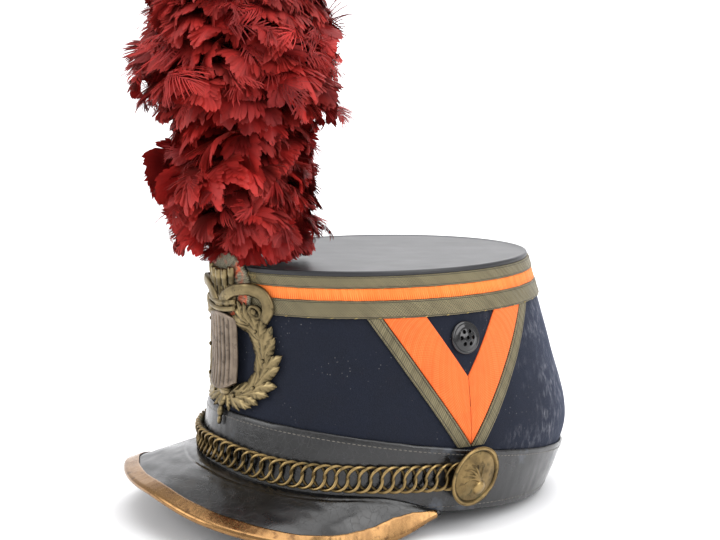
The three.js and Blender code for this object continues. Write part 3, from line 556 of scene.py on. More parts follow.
# %% Feather and thread finishes
feather, tree, shader = finish("red_feather", sheen=0.12, specular=0.25)
shader.inputs["Sheen Tint"].default_value = linear(255, 120, 100)
tone = put(tree, "ShaderNodeAttribute", attribute_name="tone", attribute_type="GEOMETRY").outputs["Fac"]
out = put(tree, "ShaderNodeAttribute", attribute_name="outwards", attribute_type="GEOMETRY").outputs["Fac"]
xyz = object_coords(tree)
colour = blend_colour(tree, tone, linear(92, 8, 12), linear(184, 34, 32))
colour = blend_colour(tree, remap(tree, out, 0.3, 1.0, 0.0, 0.35), colour, linear(200, 66, 54))
# cloudy patches across the whole plume are darkened to deep red: painted shade of the gaps between feathers
dark = remap(tree, noise(tree, xyz, 45.0, 3.0), 0.4, 0.66, 0.0, 0.65)
colour = blend_colour(tree, dark, colour, linear(92, 10, 14))
gloss = remap(tree, tone, 0.0, 1.0, 0.62, 0.5)
surface(tree, shader, colour, gloss, noise(tree, xyz, 1500.0, 2.0), 0.2, 0.0002)

quill, tree, shader = finish("quill", specular=0.4)
xyz = object_coords(tree)
colour = blend_colour(tree, noise(tree, xyz, 300.0, 3.0), linear(196, 84, 70), linear(232, 148, 128))
surface(tree, shader, colour, remap(tree, noise(tree, xyz, 90.0, 2.0), 0.0, 1.0, 0.4, 0.6))

thread, tree, shader = finish("sewing_thread", sheen=0.2)
xyz = object_coords(tree)
colour = blend_colour(tree, noise(tree, xyz, 400.0, 3.0), linear(52, 50, 48), linear(128, 122, 112))
surface(tree, shader, colour, remap(tree, noise(tree, xyz, 900.0, 2.0), 0.0, 1.0, 0.6, 0.85))

gold_thread, tree, shader = finish("gold_thread", metallic=0.3)
xyz = object_coords(tree)
colour = blend_colour(tree, noise(tree, xyz, 400.0, 3.0), linear(130, 112, 60), linear(208, 184, 110))
surface(tree, shader, colour, remap(tree, noise(tree, xyz, 900.0, 2.0), 0.0, 1.0, 0.4, 0.6))
print("finishes:", len(bpy.data.materials))

# %% [markdown]
# The wall itself: one closed skin of cloth and its stiff lining, outside, round the foot and up the
# inside. It follows the body's plan, with a very slight swell and wrinkle, because hand-blocked
# felt is never quite true. It could be made by blocking wet felt on a wooden form.

# %% Cloth wall
WALL, WALL_ROWS, WALL_TOP = 2.2, 60, TOP_Z - 2.8    # thickness, rows of points, upper edge
BAND_TOP, BAND_DIP = 43.0, 0.165                     # the headband's upper edge and its slope
ROUND = 360
angles = np.linspace(0, TAU, ROUND, endpoint=False)


def band_top(t):
    """Height of the headband's upper edge: it dips towards the back."""
    z = np.full(np.shape(t), BAND_TOP)
    for _ in range(4):
        z = BAND_TOP - BAND_DIP * (on_body(t, z)[..., 1] - ORIGIN_Y)
    return z


def wall_grid(rows, off, high):
    """Rows of the body from its foot up to a height, at one distance from the surface."""
    k = np.linspace(0, 1, rows)[:, None]
    low = foot_z(angles)[None, :]
    return on_body(angles[None, :], low + (high - low) * k, off)


rise = np.linspace(0, 1, WALL_ROWS)[:, None]
swell = 0.25 * ripple(3 * angles[None, :], 5 * rise, 3) * np.sin(np.pi * rise)
outside = wall_grid(WALL_ROWS, swell, WALL_TOP)
inside = wall_grid(WALL_ROWS, -WALL, WALL_TOP)[::-1]
wall = Heap()
wall.add(np.concatenate([outside, inside]), wrap=(True, True), flip=True)
hand_over(wall.build("cloth_wall"), "navy_cloth", cloth, "body_shell")
print("wall spans", outside.reshape(-1, 3).min(0).round(1), outside.reshape(-1, 3).max(0).round(1))

# %% [markdown]
# The top is a disc of leather, a little sunk inside a low rounded edge that is turned down over the
# wall. Its surface has dents and a soft sag, which the studio light shows as slow changes of grey.

# %% Leather top
def crown_row(r, z, off=0.0):
    """One loop of the top: the body's own top outline shrunk to share r of its size."""
    p = on_body(angles, np.full(ROUND, TOP_Z), off)
    centre = np.array([0, (PLAN[-1, 1] + PLAN[-1, 2]) / 2 + ORIGIN_Y, 0])
    p = centre + (p - centre) * r
    p[:, 2] = z
    return p


# the rounded edge, as distances off the body and heights from the top
EDGE = [(-0.2, -2.8), (1.05, -2.8), (1.15, -2.2), (1.2, -1.2), (1.05, -0.5), (0.6, -0.1), (0.0, 0.0),
        (-0.8, -0.12), (-1.6, -0.38)]
rows = [crown_row(1.0, TOP_Z + dz, off) for off, dz in EDGE]
for r in np.linspace(0.97, 0.02, 46):
    p = crown_row(r, TOP_Z, -1.6)
    sag = -0.45 - 0.9 * (1 - r**2) ** 1.5
    p[:, 2] += sag + 0.1 * ripple(p[:, 0] / 16, p[:, 1] / 16, 11, 5, 0.5) * (1 - r**6)
    rows.append(p)
rows.append(np.tile(rows[-1].mean(0), (ROUND, 1)))
under = [crown_row(r, TOP_Z - 2.85, -0.2) for r in (1e-4, 0.6, 0.985)]
top = Heap()
top.add(np.array(under + rows), wrap=(False, True))
hand_over(top.build("leather_top"), "black_leather", crown_leather, "crown_top")

# %% [markdown]
# Three tapes go round under the top: gold lace, an orange ribbed tape and a broader gold lace. Metal
# lace is woven with a hard edge on both sides. Each is sewn on in one length, so it is drawn as a
# thin closed loop with rounded edges and slow ripples where it has stretched and puckered.

# %% Tapes round the top
TAPES = [
    # name, node, low, high, thickness, slot, finish, pucker
    ("lace_band_upper", "lace_upper", 126.6, 132.5, 1.1, "tarnished_lace", lace_narrow, 0.10),
    ("orange_stripe", "stripe", 120.5, 126.5, 0.8, "orange_tape", tape_ribbed, 0.06),
    ("lace_band_lower", "lace_lower", 111.6, 120.4, 1.1, "tarnished_lace", lace, 0.16),
]
DRAWN_TOP = 135.1                                # the top's height in the drawing of the pieces
z_shift = TOP_Z - DRAWN_TOP                      # from the drawing's heights to the frame's
fine_angles = np.linspace(0, TAU, 720, endpoint=False)
TAPE_BACK, TAPE_WANDER = 0.25, 0.45              # the tape's back off the body, its edges' waver


def tape_ring(low, high, thick, pucker, seed):
    """A thin band round the body between two heights, with rounded edges, and its UV."""
    k = np.concatenate([[0, 0.004, 0.03], np.linspace(0.07, 0.93, 12), [0.97, 0.996, 1]])
    off = thick * np.array([0.3, 0.75, 1.0] + [1.0] * 12 + [1.0, 0.75, 0.3]) + TAPE_BACK
    t = fine_angles[None, :]
    lines = (0.12 * np.sin(np.pi * np.clip(k * 2 % 1, 0, 1)))[:, None]
    wave = pucker * ripple(26 * t, 1.3 * k[:, None], seed, 7, 2.0) * np.ones((len(k), 1))
    edge_wave = TAPE_WANDER * 0.35 * ripple(17 * t, 0, seed + 1, 5, 2.0) * (2 * k[:, None] - 1) ** 3
    z = low + (high - low) * k[:, None] + edge_wave
    front = on_body(t, z, off[:, None] + np.maximum(wave, -0.2) + lines)
    rear = on_body(t, z[[-1, 0]], TAPE_BACK)
    grid = np.concatenate([front, rear])
    rows = np.concatenate([(high - low) * k, [high - low, 0, 0]])
    table_t, table_a = arc_table((low + high) / 2)
    a = np.interp(np.append(fine_angles, TAU), table_t, table_a)
    u = (a[None, :] + 0 * rows[:, None]) * MM
    v = (rows[:, None] + 0 * a[None, :]) * MM
    return grid, grid_uv(u, v)


for seed, (name, node, low, high, thick, slot_name, finish_, pucker) in enumerate(TAPES):
    grid, uv = tape_ring(low + z_shift, high + z_shift, thick, pucker, 20 + seed)
    heap = Heap()
    heap.add(grid, wrap=(True, True), flip=True, uv=uv)
    hand_over(heap.build(name), slot_name, finish_, node)

# %% [markdown]
# The headband is a strip of glossy leather round the foot, sewn through the cloth near both edges.
# Years of handling bend its free edges, so the outline wavers by a fraction of a millimetre and
# the surface has slow dents.

# %% Leather headband
BAND_OFF, BAND_T = 0.3, 1.6                      # its back off the body, its thickness
k = np.concatenate([[0, 0.006, 0.03], np.linspace(0.08, 0.92, 16), [0.97, 0.994, 1]])[:, None]
t = fine_angles[None, :]
low_z, high_z = foot_z(t), band_top(t)
waver = 0.28 * ripple(9 * t, 0, 31, 6, 1.6) * (2 * k - 1) ** 5
dents = 0.14 * ripple(12 * t, 4 * k, 32, 7, 1.4)
profile = np.array([0.35, 0.8, 1.0] + [1.0] * 16 + [1.0, 0.8, 0.35])[:, None]
lift = BAND_OFF + BAND_T * profile + np.clip(dents, -0.2, 0.2) * np.minimum(1, np.minimum(k, 1 - k) * 8)
front = on_body(t, low_z + (high_z - low_z) * k + waver, lift)
rear = on_body(t, np.concatenate([high_z, low_z]), BAND_OFF)
heap = Heap()
heap.add(np.concatenate([front, rear]), wrap=(True, True), flip=True)
hand_over(heap.build("leather_headband"), "black_leather", band_leather, "lower_band")

# %% [markdown]
# The stitches are short threads, each sunk at both ends. A bump pattern could show them, but real
# threads catch the light and stay in the exported mesh. All the stitches of a row are worked out
# as one array, because each is the same spindle moved along the body.

# %% Stitches
def add_many(heap, grids, wrap=(False, True)):
    """Adds an array of equal grids, (count, rows, columns, 3), in one go."""
    n, r, c = grids.shape[:3]
    faces = grid_faces((r, c), wrap)
    every = (faces[None] + (np.arange(n) * r * c)[:, None, None]).reshape(-1, 4)
    heap.points.append(grids.reshape(-1, 3))
    heap.quads.append(every + heap.count)
    heap.uv.append(np.zeros((len(every), 4, 2)))
    heap.count += n * r * c


def stitch_row(height, pitch, length, off, thick, slant=0.0):
    """Short raised threads round the body at height(t). Each is a spindle of 7 rings of 6 points,
    whose girth falls to almost nothing at both ends as a circle's height does."""
    t = np.linspace(0, TAU, 4001)
    path = on_body(t, height(t), off)
    a = np.concatenate([[0], np.cumsum(np.linalg.norm(np.diff(path, axis=0), axis=1))])
    at = (np.arange(int(a[-1] // pitch)) + 0.5) * pitch
    s = np.linspace(-0.5, 0.5, 7)
    tt = np.interp(at[:, None] + s[None, :] * length, a, t)
    girth = np.sqrt(np.maximum(1 - (2 * s) ** 2, 0.02)) * thick
    turn = np.linspace(0, TAU, 6, endpoint=False)
    z = (height(tt) + slant * s[None, :])[..., None] + girth[None, :, None] * np.sin(turn)
    return on_body(tt[..., None], z, off + girth[None, :, None] * np.cos(turn) * 0.8)


stitches, on_band = Heap(), BAND_OFF + BAND_T + 0.05
add_many(stitches, stitch_row(lambda t: band_top(t) - 3.0, 2.6, 1.9, on_band, 0.24))
add_many(stitches, stitch_row(lambda t: foot_z(t) + 3.0, 2.9, 2.1, on_band, 0.22))
hand_over(stitches.build("headband_stitches"), "black_leather", thread)
gold = Heap()
add_many(gold, stitch_row(lambda t: 111.9 + z_shift + 0 * t, 12.0, 1.7, 1.45, 0.2, slant=0.5))
add_many(gold, stitch_row(lambda t: 126.4 + z_shift + 0 * t, 14.0, 1.5, 1.3, 0.18, slant=0.5))
hand_over(gold.build("lace_stitches"), "tarnished_lace", gold_thread)

# %% [markdown]
# On each side a V of orange tape edged with narrow gold lace points down. Each arm is one strip cut
# at a slant where the two meet, so the twill changes direction at the seam. The lace is laid along
# the outer edge, and both are hemmed at the top under the broad lace.

# %% Side chevrons
CHEV_TOP, APEX_IN, APEX_OUT = 111.5, 80.2, 45.3     # heights of the top, the inner and the outer point
CHEV_IN, CHEV_OUT, CHEV_LACE = 21.0, 43.4, 7.7      # half widths at the top, the lace's width
SEAM, CHEV_OFF = 0.12, 0.3                          # half the gap between the arms, their back off the body


def chevron_patch(side, way, corners, thick, name, slot_name, material, node, seed):
    """A strip on the side: u runs up the arm and v across it, and corners(u, v) says where."""
    u = np.linspace(0, 1, 70)[:, None]
    v = np.concatenate([[0, 0.012, 0.05], np.linspace(0.1, 0.9, 14), [0.95, 0.988, 1]])[None, :]
    along, z = corners(u, v)
    along, z = along + 0 * v, z + 0 * v + z_shift
    bulge = np.clip(0.12 * ripple(8 * u, 2.5 * v, seed, 7, 1.5), -0.25, 0.3)
    rounding = np.interp(v, [0, 0.012, 0.05, 0.95, 0.988, 1], [0.3, 0.75, 1, 1, 0.75, 0.3])
    t = angle_along(side_angle(z), way * along, z)
    face = on_body(t, z, CHEV_OFF + thick * rounding + bulge * rounding)
    back = on_body(t, z, CHEV_OFF - 0.1)
    across = np.linalg.norm(face[:, -1] - face[:, 0], axis=-1).mean()
    length = np.linalg.norm(face[-1, 9] - face[0, 9])
    grid = np.concatenate([face, back[:, ::-1]], axis=1)
    loop_v = np.concatenate([v[0], v[0, ::-1], [0]])[None, :]
    uv = grid_uv((u * length * MM) + 0 * loop_v, (loop_v * across * MM) + 0 * u)
    grid[..., 0] *= side
    heap = Heap()
    heap.add(grid, wrap=(False, True), flip=(side * way > 0), uv=uv)
    return hand_over(heap.build(name), slot_name, material, node)


def cloth_corners(u, v):
    """Distance from the side's middle and height on the tape: a blend of its two straight edges."""
    z = (APEX_IN + (CHEV_TOP - APEX_IN) * u) * (1 - v) + (APEX_OUT + (CHEV_TOP - APEX_OUT) * u) * v
    return (SEAM + (CHEV_IN - SEAM) * u) * (1 - v) + (SEAM + (CHEV_OUT - SEAM) * u) * v, z


def lace_corners(u, v):
    """The same for the lace: a strip of even width that starts a little below the tape's point."""
    start = APEX_OUT - 0.7
    return SEAM + (CHEV_OUT + 0.3) * u + CHEV_LACE * v, start + (CHEV_TOP - start) * u


for side_name, side in (("left", 1), ("right", -1)):
    for way_name, way in (("front", -1), ("rear", 1)):
        arm = f"{side_name}_{way_name}"
        chevron_patch(side, way, cloth_corners, 0.85, f"chevron_tape_{arm}", "orange_tape",
                      tape_twill, f"chevron_{arm}", 40 + side + 3 * way)
        chevron_patch(side, way, lace_corners, 1.15, f"chevron_edging_{arm}", "tarnished_lace",
                      lace_side, f"chevron_lace_{arm}", 50 + side + 3 * way)

# %% [markdown]
# The peak is a thick piece of moulded leather. It leaves the band in an even curve, falls forwards
# and bends down at its rim. The wearer's right side has warped up a little. Its top has shallow
# creases that follow the joint, and its rim is bound in folded brass.

# %% Leather peak
VISOR = np.array([
    # degrees, root height, edge height, reach
    (-82, 12.4, 12.9, 1.6), (-62, 24.0, 2.7, 9.5), (-40, 29.6, 15.0, 33.5),
    (-22, 31.1, 23.6, 40.0), (0, 30.8, 24.3, 40.4), (20, 27.9, 17.4, 40.6),
    (40, 24.6, 9.2, 34.3), (62, 22.0, 2.7, 9.5), (82, 12.4, 12.9, 1.6),
])
VISOR_T, BEND = 2.4, 1.5                         # the leather's thickness, the power of its fall
ROOT_OFF = BAND_OFF + BAND_T + 0.9               # where it leaves the band
visor_root, visor_edge, full_reach = (curve(VISOR[:, 0], VISOR[:, k]) for k in (1, 2, 3))


def visor_reach(deg):
    """The leather's reach, a little short of the peak's so that the brass round it ends there."""
    reach = full_reach(deg)
    return reach - 2.0 * np.minimum(1, reach / 24)


def closed_ends(grid):
    """The grid with each end drawn together to its middle point, so that the piece is closed."""
    ends = [grid[:, k:k + 1 or None].mean(0, keepdims=True) for k in (0, -1)]
    return np.concatenate([np.repeat(ends[0], len(grid), 0), grid, np.repeat(ends[1], len(grid), 0)], axis=1)


def visor_point(deg, v, up, ahead=0.0):
    """A point of the peak at an angle in degrees and share v of the reach, moved square to the top
    by up and on past the edge by ahead. The height falls with the 1.5th power of v."""
    deg, v, up, ahead = np.broadcast_arrays(np.asarray(deg, float), v, up, ahead)
    root, reach = visor_root(deg), visor_reach(deg)
    fall = visor_edge(deg) - root
    slope = fall * BEND * v ** (BEND - 1) / reach
    size = np.hypot(1, slope)
    n_out, n_z = -slope / size, 1 / size
    t = np.radians(deg)
    p0 = on_body(t, root + z_shift, ROOT_OFF)
    out = on_body(t, root + z_shift, ROOT_OFF + 1) - p0
    p = p0 + out * (reach * v + n_out * up + n_z * ahead)[..., None]
    p[..., 2] = z_shift + root + fall * v**BEND + n_z * up - n_out * ahead
    return p


deg = np.linspace(-82, 82, 260)[None, :]
v_top = np.linspace(0, 0.985, 54)[:, None]
from_fold = visor_reach(deg) / 40
crease = (-0.32 * np.exp(-(((v_top - 0.16) * from_fold) / 0.018) ** 2)
          + 0.18 * np.exp(-(((v_top - 0.22) * from_fold) / 0.03) ** 2))
dent = (0.22 * ripple(0.09 * deg, 5 * v_top, 61, 7, 1.2) * np.minimum(1, v_top * 6)
        * np.minimum(1, visor_reach(deg) / 20))
upper = visor_point(deg, v_top, np.minimum(crease + dent - 0.1, 0.1) * np.minimum(1, (1 - v_top) * 8))
half = VISOR_T / 2
nose = [visor_point(deg, 1.0, -half + half * np.cos(a), -0.1 + half * np.sin(a) - half + 0.2)
        for a in np.radians([20, 50, 90, 130, 160])]
lower = visor_point(deg, np.linspace(0.985, 0, 24)[:, None], -VISOR_T)
heap = Heap()
heap.add(closed_ends(np.concatenate([upper, np.concatenate(nose), lower])), wrap=(True, False))
hand_over(heap.build("leather_peak"), "black_leather", peak_leather, "visor")

# %% [markdown]
# The peak's binding is a strip of thin brass folded round the edge and hammered down. Its inner
# edge stands a little proud and wanders, its nose is round, and small dents from knocks
# catch the light. The fold runs out to nothing where the peak meets the band.

# %% Brass binding
RIM_COVER, RIM_UNDER = 6.4, 4.5                  # how far it covers the top and the underside
RIM_T, RIM_GAP = 0.7, 0.15                       # the sheet's thickness, its play on the leather
deg = np.linspace(-80.5, 80.5, 420)[None, :]
reach = visor_reach(deg)
cover = RIM_COVER - 3.9 * smooth(np.abs(deg), 18, 58) + 0.3 * ripple(0.25 * deg, 0, 66, 6, 1.5)
top_v = 1 - np.minimum(cover / reach, 0.5)
under_v = 1 - np.minimum(RIM_UNDER / reach, 0.5)
inner, outer = half + RIM_GAP, half + RIM_GAP + RIM_T
rows = [visor_point(deg, top_v, -half + inner), visor_point(deg, top_v, -half + outer - 0.15)]
dings = 0.12 * ripple(0.6 * deg, 0, 67, 7, 1.6)
for w in np.linspace(0.02, 1, 9):
    rows.append(visor_point(deg, top_v + (1 - top_v) * w, -half + outer + dings * np.sin(np.pi * w)))
for a in np.radians(np.linspace(12, 180, 15)):
    grow = outer * (1 + 0.1 * np.sin(a) ** 2)
    rows.append(visor_point(deg, 1.0, -half + grow * np.cos(a), grow * np.sin(a)))
rows += [visor_point(deg, under_v, -half - outer), visor_point(deg, under_v, -half - inner)]
for a in np.radians(np.linspace(180, 0, 7)):
    rows.append(visor_point(deg, 1.0, -half + inner * np.cos(a), inner * np.sin(a)))
grid = closed_ends(np.concatenate(rows))
relief = np.full(grid.shape[:2], 0.8)
relief[:2] = 0.2
heap = Heap()
heap.add(grid, wrap=(True, False))
hand_over(heap.build("brass_binding", values={"relief": relief}), "polished_brass", bright_brass, "visor_rim")

# %% [markdown]
# The chin chain is a curb chain: round brass rings, each one linked through its neighbours and
# twisted so that they lie flat together. It hangs along the band between the two side bosses. Each
# ring is the same loop of wire, so all of them are worked out at once as one array.

# %% Chin chain
# degrees from the front and heights that the chain passes through
CHAIN = np.array([(-90, 29.7), (-62, 34.0), (-32, 38.5), (0, 38.6), (34, 33.6), (62, 31.3), (90, 29.7)])
RING_A, RING_U, RING_OUT = 6.0, 6.4, 1.2         # a ring's half length, half height and twist
WIRE, PITCH, CHAIN_OFF = 0.85, 5.7, 3.6          # wire radius, spacing, distance off the body
chain_z = curve(CHAIN[:, 0], CHAIN[:, 1])


def chain_point(deg, off):
    """The chain's route at an angle in degrees and a distance off the body."""
    return on_body(np.radians(deg), chain_z(deg) + z_shift, off)


route_deg = np.linspace(-83, 83, 3001)
route = chain_point(route_deg, CHAIN_OFF)
run = np.concatenate([[0], np.cumsum(np.linalg.norm(np.diff(route, axis=0), axis=1))])
count = int(round(run[-1] / PITCH)) + 1
ring_deg = np.interp(np.linspace(0, run[-1], count), run, route_deg)
centre = chain_point(ring_deg, CHAIN_OFF)
ahead = chain_point(ring_deg + 0.2, CHAIN_OFF) - chain_point(ring_deg - 0.2, CHAIN_OFF)
ahead /= np.linalg.norm(ahead, axis=1, keepdims=True)
out = chain_point(ring_deg, CHAIN_OFF + 1) - centre
upwards = np.cross(out, ahead)
upwards *= np.sign(upwards[:, 2:3])
upwards /= np.linalg.norm(upwards, axis=1, keepdims=True)
rng = np.random.default_rng(7)
theta = np.linspace(0, TAU, 28, endpoint=False)
phi = np.linspace(0, TAU, 8, endpoint=False)


def ring_local(th, tilt, roll):
    """A ring's centre line in (ahead, up, out) millimetres: an oval with a saddle twist."""
    a, u = RING_A * np.cos(th), RING_U * np.sin(th)
    o = -RING_OUT * np.sin(2 * th) + tilt * np.cos(th)
    a, u = a * np.cos(roll) - u * np.sin(roll), a * np.sin(roll) + u * np.cos(roll)
    return np.stack([a, u, o - a**2 / 170], -1)


tilt, roll = rng.normal(0, 0.18, (count, 1)), rng.normal(0, 0.05, (count, 1))
line = ring_local(theta[None, :], tilt, roll)
tangent = ring_local(theta[None, :] + 0.01, tilt, roll) - ring_local(theta[None, :] - 0.01, tilt, roll)
tangent /= np.linalg.norm(tangent, axis=-1, keepdims=True)
side_dir = np.cross(tangent, np.array([0, 0, 1.0]))
side_dir /= np.linalg.norm(side_dir, axis=-1, keepdims=True)
up_dir = np.cross(side_dir, tangent)
wire = line[:, :, None] + WIRE * (side_dir[:, :, None] * np.cos(phi)[:, None]
                                  + up_dir[:, :, None] * np.sin(phi)[:, None])
rings = (centre[:, None, None] + wire[..., 0:1] * ahead[:, None, None] + wire[..., 1:2] * upwards[:, None, None]
         + wire[..., 2:3] * out[:, None, None])
heap = Heap()
add_many(heap, rings, wrap=(True, True))
relief = np.clip(0.45 + 0.5 * wire[..., 2] / 2.0, 0, 1)
hand_over(heap.build("curb_chain", values={"relief": relief}), "aged_brass", old_brass,
          *[f"chin_chain_{i}" for i in range(1, 7)])
print("rings:", count)

# %% [markdown]
# The side bosses hold the chain. Each is a stamped brass disc with a raised rim, a groove inside
# it and a flaming ball, an old and common army sign. A stamping is a height over a disc, so it is
# drawn as rings and spokes whose height is a sum of smooth steps and rounded strokes.

# %% Bosses
BOSS_Z, BOSS_YAW, BOSS_LIFT = 29.7, 8.0, 5.9     # height, turn to the front, distance off the body
BOSS_R, FIELD_R, POST_R = 16.0, 13.8, 4.0        # radii of the disc, of its field and of its post
BALL_X, BALL_Y, BALL_R = -2.6, -6.2, 3.9
# each flame: where it ends, and how far it bows sideways on its way from the ball's mouth
MOUTH_X, MOUTH_Y = -2.0, -2.2
FLAMES = [(9.0, 5.2, 2.4), (9.6, 1.6, 2.0), (7.6, -1.8, 1.6), (4.6, 7.4, 2.2), (0.6, 6.6, -1.4),
          (-3.2, 4.8, -1.6)]


def stroke(x, y, points, w0, w1):
    """Rounded ridge of width w0 to w1 along a line of points: 1 on its crest and 0 outside."""
    best = np.zeros_like(x)
    points = np.asarray(points, float)
    for k in range(len(points) - 1):
        a, b = points[k], points[k + 1]
        d = b - a
        s = np.clip(((x - a[0]) * d[0] + (y - a[1]) * d[1]) / (d @ d), 0, 1)
        dist = np.hypot(x - a[0] - s * d[0], y - a[1] - s * d[1])
        width = w0 + (w1 - w0) * (k + s) / (len(points) - 1)
        ridge = np.sqrt(np.clip(1 - (dist / np.maximum(width, 0.01)) ** 2, 0, 1))
        best = np.maximum(best, ridge * np.clip(width / w0, 0.3, 1))
    return best


def side_place(side, z, off, yaw=0.0):
    """Where a disc on the side stands: its centre and its axes rearwards, up and outwards."""
    z = z + z_shift
    t = side_angle(np.array([z]))[0]
    p = on_body(t, z, off)
    rise = on_body(t, z + 2) - on_body(t, z - 2)
    lean = np.arctan2(rise[0], rise[2])
    w, y = np.array([np.cos(lean), 0, -np.sin(lean)]), np.array([0, 1.0, 0])
    turn = np.radians(yaw)
    w, y = (np.array([w[0] * np.cos(turn), np.sin(turn), w[2]]),
            np.array([-np.sin(turn) * w[0], np.cos(turn), 0]))
    w /= np.linalg.norm(w)
    y /= np.linalg.norm(y)
    up = np.cross(w, y)
    up *= np.sign(up[2])
    centre = np.array([p[0], ORIGIN_Y, z])
    if side < 0:
        mirror = np.array([-1, 1, 1])
        return centre * mirror, y * mirror, up * mirror, w * mirror
    return centre, y, up, w


def boss_height(x, y):
    """Height and relief of the disc, x to the front and y up: a rim, a shallow dome that falls with the
    square of the distance from the middle, a ball, and flames that are rounded strokes."""
    r = np.hypot(x, y)
    rim = 0.7 * smooth(r, 14.0, 14.6) * (1 - smooth(r, 15.4, BOSS_R)) + 0.8
    groove = -0.35 * np.exp(-((r - FIELD_R) / 0.35) ** 2)
    dome = 1.5 * (1 - (r / FIELD_R) ** 2).clip(0, 1)
    ball = 1.9 * np.sqrt(np.clip(1 - ((x - BALL_X)**2 + (y - BALL_Y)**2) / BALL_R**2, 0, 1))
    flames = np.zeros_like(x)
    k = np.linspace(0, 1, 7)
    for end_x, end_y, bow in FLAMES:
        px = MOUTH_X + (end_x - MOUTH_X) * k
        py = MOUTH_Y + (end_y - MOUTH_Y) * k + bow * np.sin(np.pi * k)
        flames = np.maximum(flames, stroke(x, y, np.stack([px, py], 1), 1.0, 0.35))
    figure = np.maximum(ball, 0.9 * flames)
    # the band on the lower slopes of ball and flames lowers the relief, so the brass is darker there: painted
    # shade round the figure
    shade = np.exp(-((figure - 0.25) / 0.2) ** 2)
    relief = 0.6 + 0.2 * smooth(r, 14.2, 15.2) + 0.2 * figure - 0.35 * shade - 0.25 * (groove < -0.15)
    return rim + groove + dome + figure, np.clip(relief, 0, 1)


radii = np.concatenate([np.linspace(0.02, 12.0, 52), np.linspace(12.2, BOSS_R, 18)])
post_end = -BOSS_LIFT + 3.1
BACK_ROWS = [(16.15, 1.3), (16.2, 0.9), (BOSS_R, 0.4), (15.2, 0.0), (POST_R, 0.0), (POST_R, post_end),
             (0.05, post_end)]                   # radius and height round the edge and along the post
spokes = np.linspace(0, TAU, 144, endpoint=False)
for side_name, side in (("left", 1), ("right", -1)):
    centre, back_dir, up, w = side_place(side, BOSS_Z, BOSS_LIFT, BOSS_YAW)
    r, a = radii[:, None], spokes[None, :]
    x, y = r * np.cos(a), r * np.sin(a)
    h, relief = boss_height(x, y)
    for rr, hh in BACK_ROWS:
        x, y = np.concatenate([x, rr * np.cos(a)]), np.concatenate([y, rr * np.sin(a)])
        h, relief = np.concatenate([h, hh + 0 * a]), np.concatenate([relief, 0.5 + 0 * a])
    grid = centre - x[..., None] * back_dir + y[..., None] * up + h[..., None] * w
    heap = Heap()
    heap.add(grid, wrap=(False, True), flip=side < 0)
    hand_over(heap.build(f"boss_disc_{side_name}", values={"relief": relief}), "aged_brass", old_brass,
              f"boss_{side_name}")

# %% [markdown]
# Above each boss a small black dome with seven holes lets air out of the crown. It is pressed from
# thin sheet and japanned. The same height over a disc gives the dome; the holes are sunk wells
# with steep walls, deep enough to read black.

# %% Ventilators
VENT_Z, VENT_R, HOLE_R = 99.5, 8.5, 0.95
RING_OF_HOLES = 0.42 * VENT_R
hole_at = [(0.0, 0.0)] + [(RING_OF_HOLES * np.cos(k * TAU / 6), RING_OF_HOLES * np.sin(k * TAU / 6))
                          for k in range(6)]
DOME = np.array([(0, 2.9), (2, 2.75), (4.6, 2.1), (5.6, 1.55), (6.8, 1.1), (7.6, 1.15), (8.2, 0.95),
                 (VENT_R, 0.5)])                 # radius and height from the middle to the flange
for side_name, side in (("left", 1), ("right", -1)):
    centre, back_dir, up, w = side_place(side, VENT_Z, 0.45)
    r, a = np.concatenate([np.linspace(0.02, 5.6, 60), np.linspace(5.8, VENT_R, 22)])[:, None], spokes[None, :]
    x, y = r * np.cos(a), r * np.sin(a)
    h = np.interp(r, DOME[:, 0], DOME[:, 1]) + 0 * a
    for hx, hy in hole_at:
        h = h - 2.2 * (1 - smooth(np.hypot(x - hx, y - hy), HOLE_R * 0.82, HOLE_R * 1.1))
    for back_r in (VENT_R, 0.02):
        x, y = np.concatenate([x, back_r * np.cos(a)]), np.concatenate([y, back_r * np.sin(a)])
        h = np.concatenate([h, 0 * a])
    grid = centre - x[..., None] * back_dir + y[..., None] * up + h[..., None] * w
    heap = Heap()
    heap.add(grid, wrap=(False, True), flip=side < 0)
    hand_over(heap.build(f"vent_{side_name}"), "black_japan", japan, f"ventilator_{side_name}")

# %% [markdown]
# Behind the plate sits a cockade: a round of tarnished lace gathered in pleats to its centre. The
# pleats fan out, so their height is a wave in the angle that fades at the middle, with uneven
# depth. Its rim stays soft. A few loose gold threads stick out beside it.

# %% Cockade
def wrap_front(x, z, lift):
    """Lays a flat layout, x along the front and z up, on the body at a distance off it."""
    x, z, lift = np.broadcast_arrays(np.asarray(x, float), z, lift)
    t = angle_along(0.0, x, np.minimum(z, DRAWN_TOP) + z_shift)
    return on_body(t, z + z_shift, lift)


COCKADE_Z, COCKADE_R, COCKADE_LIFT = 122.0, 21.0, 1.8
PLEATS = 19                                      # pairs of pleats round it
r = np.concatenate([np.linspace(0.4, 19.4, 30), [20.1, 20.7, 21.0, 20.9, 20.2]])[:, None]
a = np.linspace(0, TAU, 480, endpoint=False)[None, :]
thick = np.concatenate([np.full(30, 2.0), [1.9, 1.5, 0.9, 0.3, 0.1]])[:, None]
waves = np.abs(np.sin(PLEATS * a + 0.5 * ripple(6 * a, 0.05 * r, 71, 5))) ** 0.7
pleat = 0.5 * waves * smooth(r, 3, 12) * (thick > 1)
h = thick + pleat - 0.3 + 0.2 * ripple(3 * a, 0.1 * r, 72, 5)
edge = 0.35 * np.sin(2 * PLEATS * a) * smooth(r, 14, 21)
x, z = (r + edge * 0.5) * np.cos(a), COCKADE_Z + (r + edge * 0.5) * np.sin(a)
front = wrap_front(x, z, COCKADE_LIFT + np.maximum(h, 0.1))
back = wrap_front(r[::-6] * np.cos(a), COCKADE_Z + r[::-6] * np.sin(a), COCKADE_LIFT)
grid = np.concatenate([front, back])
u = np.append(a[0], TAU)[None, :] * 20 * MM + np.zeros((len(grid), 1))
v = np.concatenate([r[:, 0], r[::-6, 0]])[:, None] * MM + 0 * u
heap = Heap()
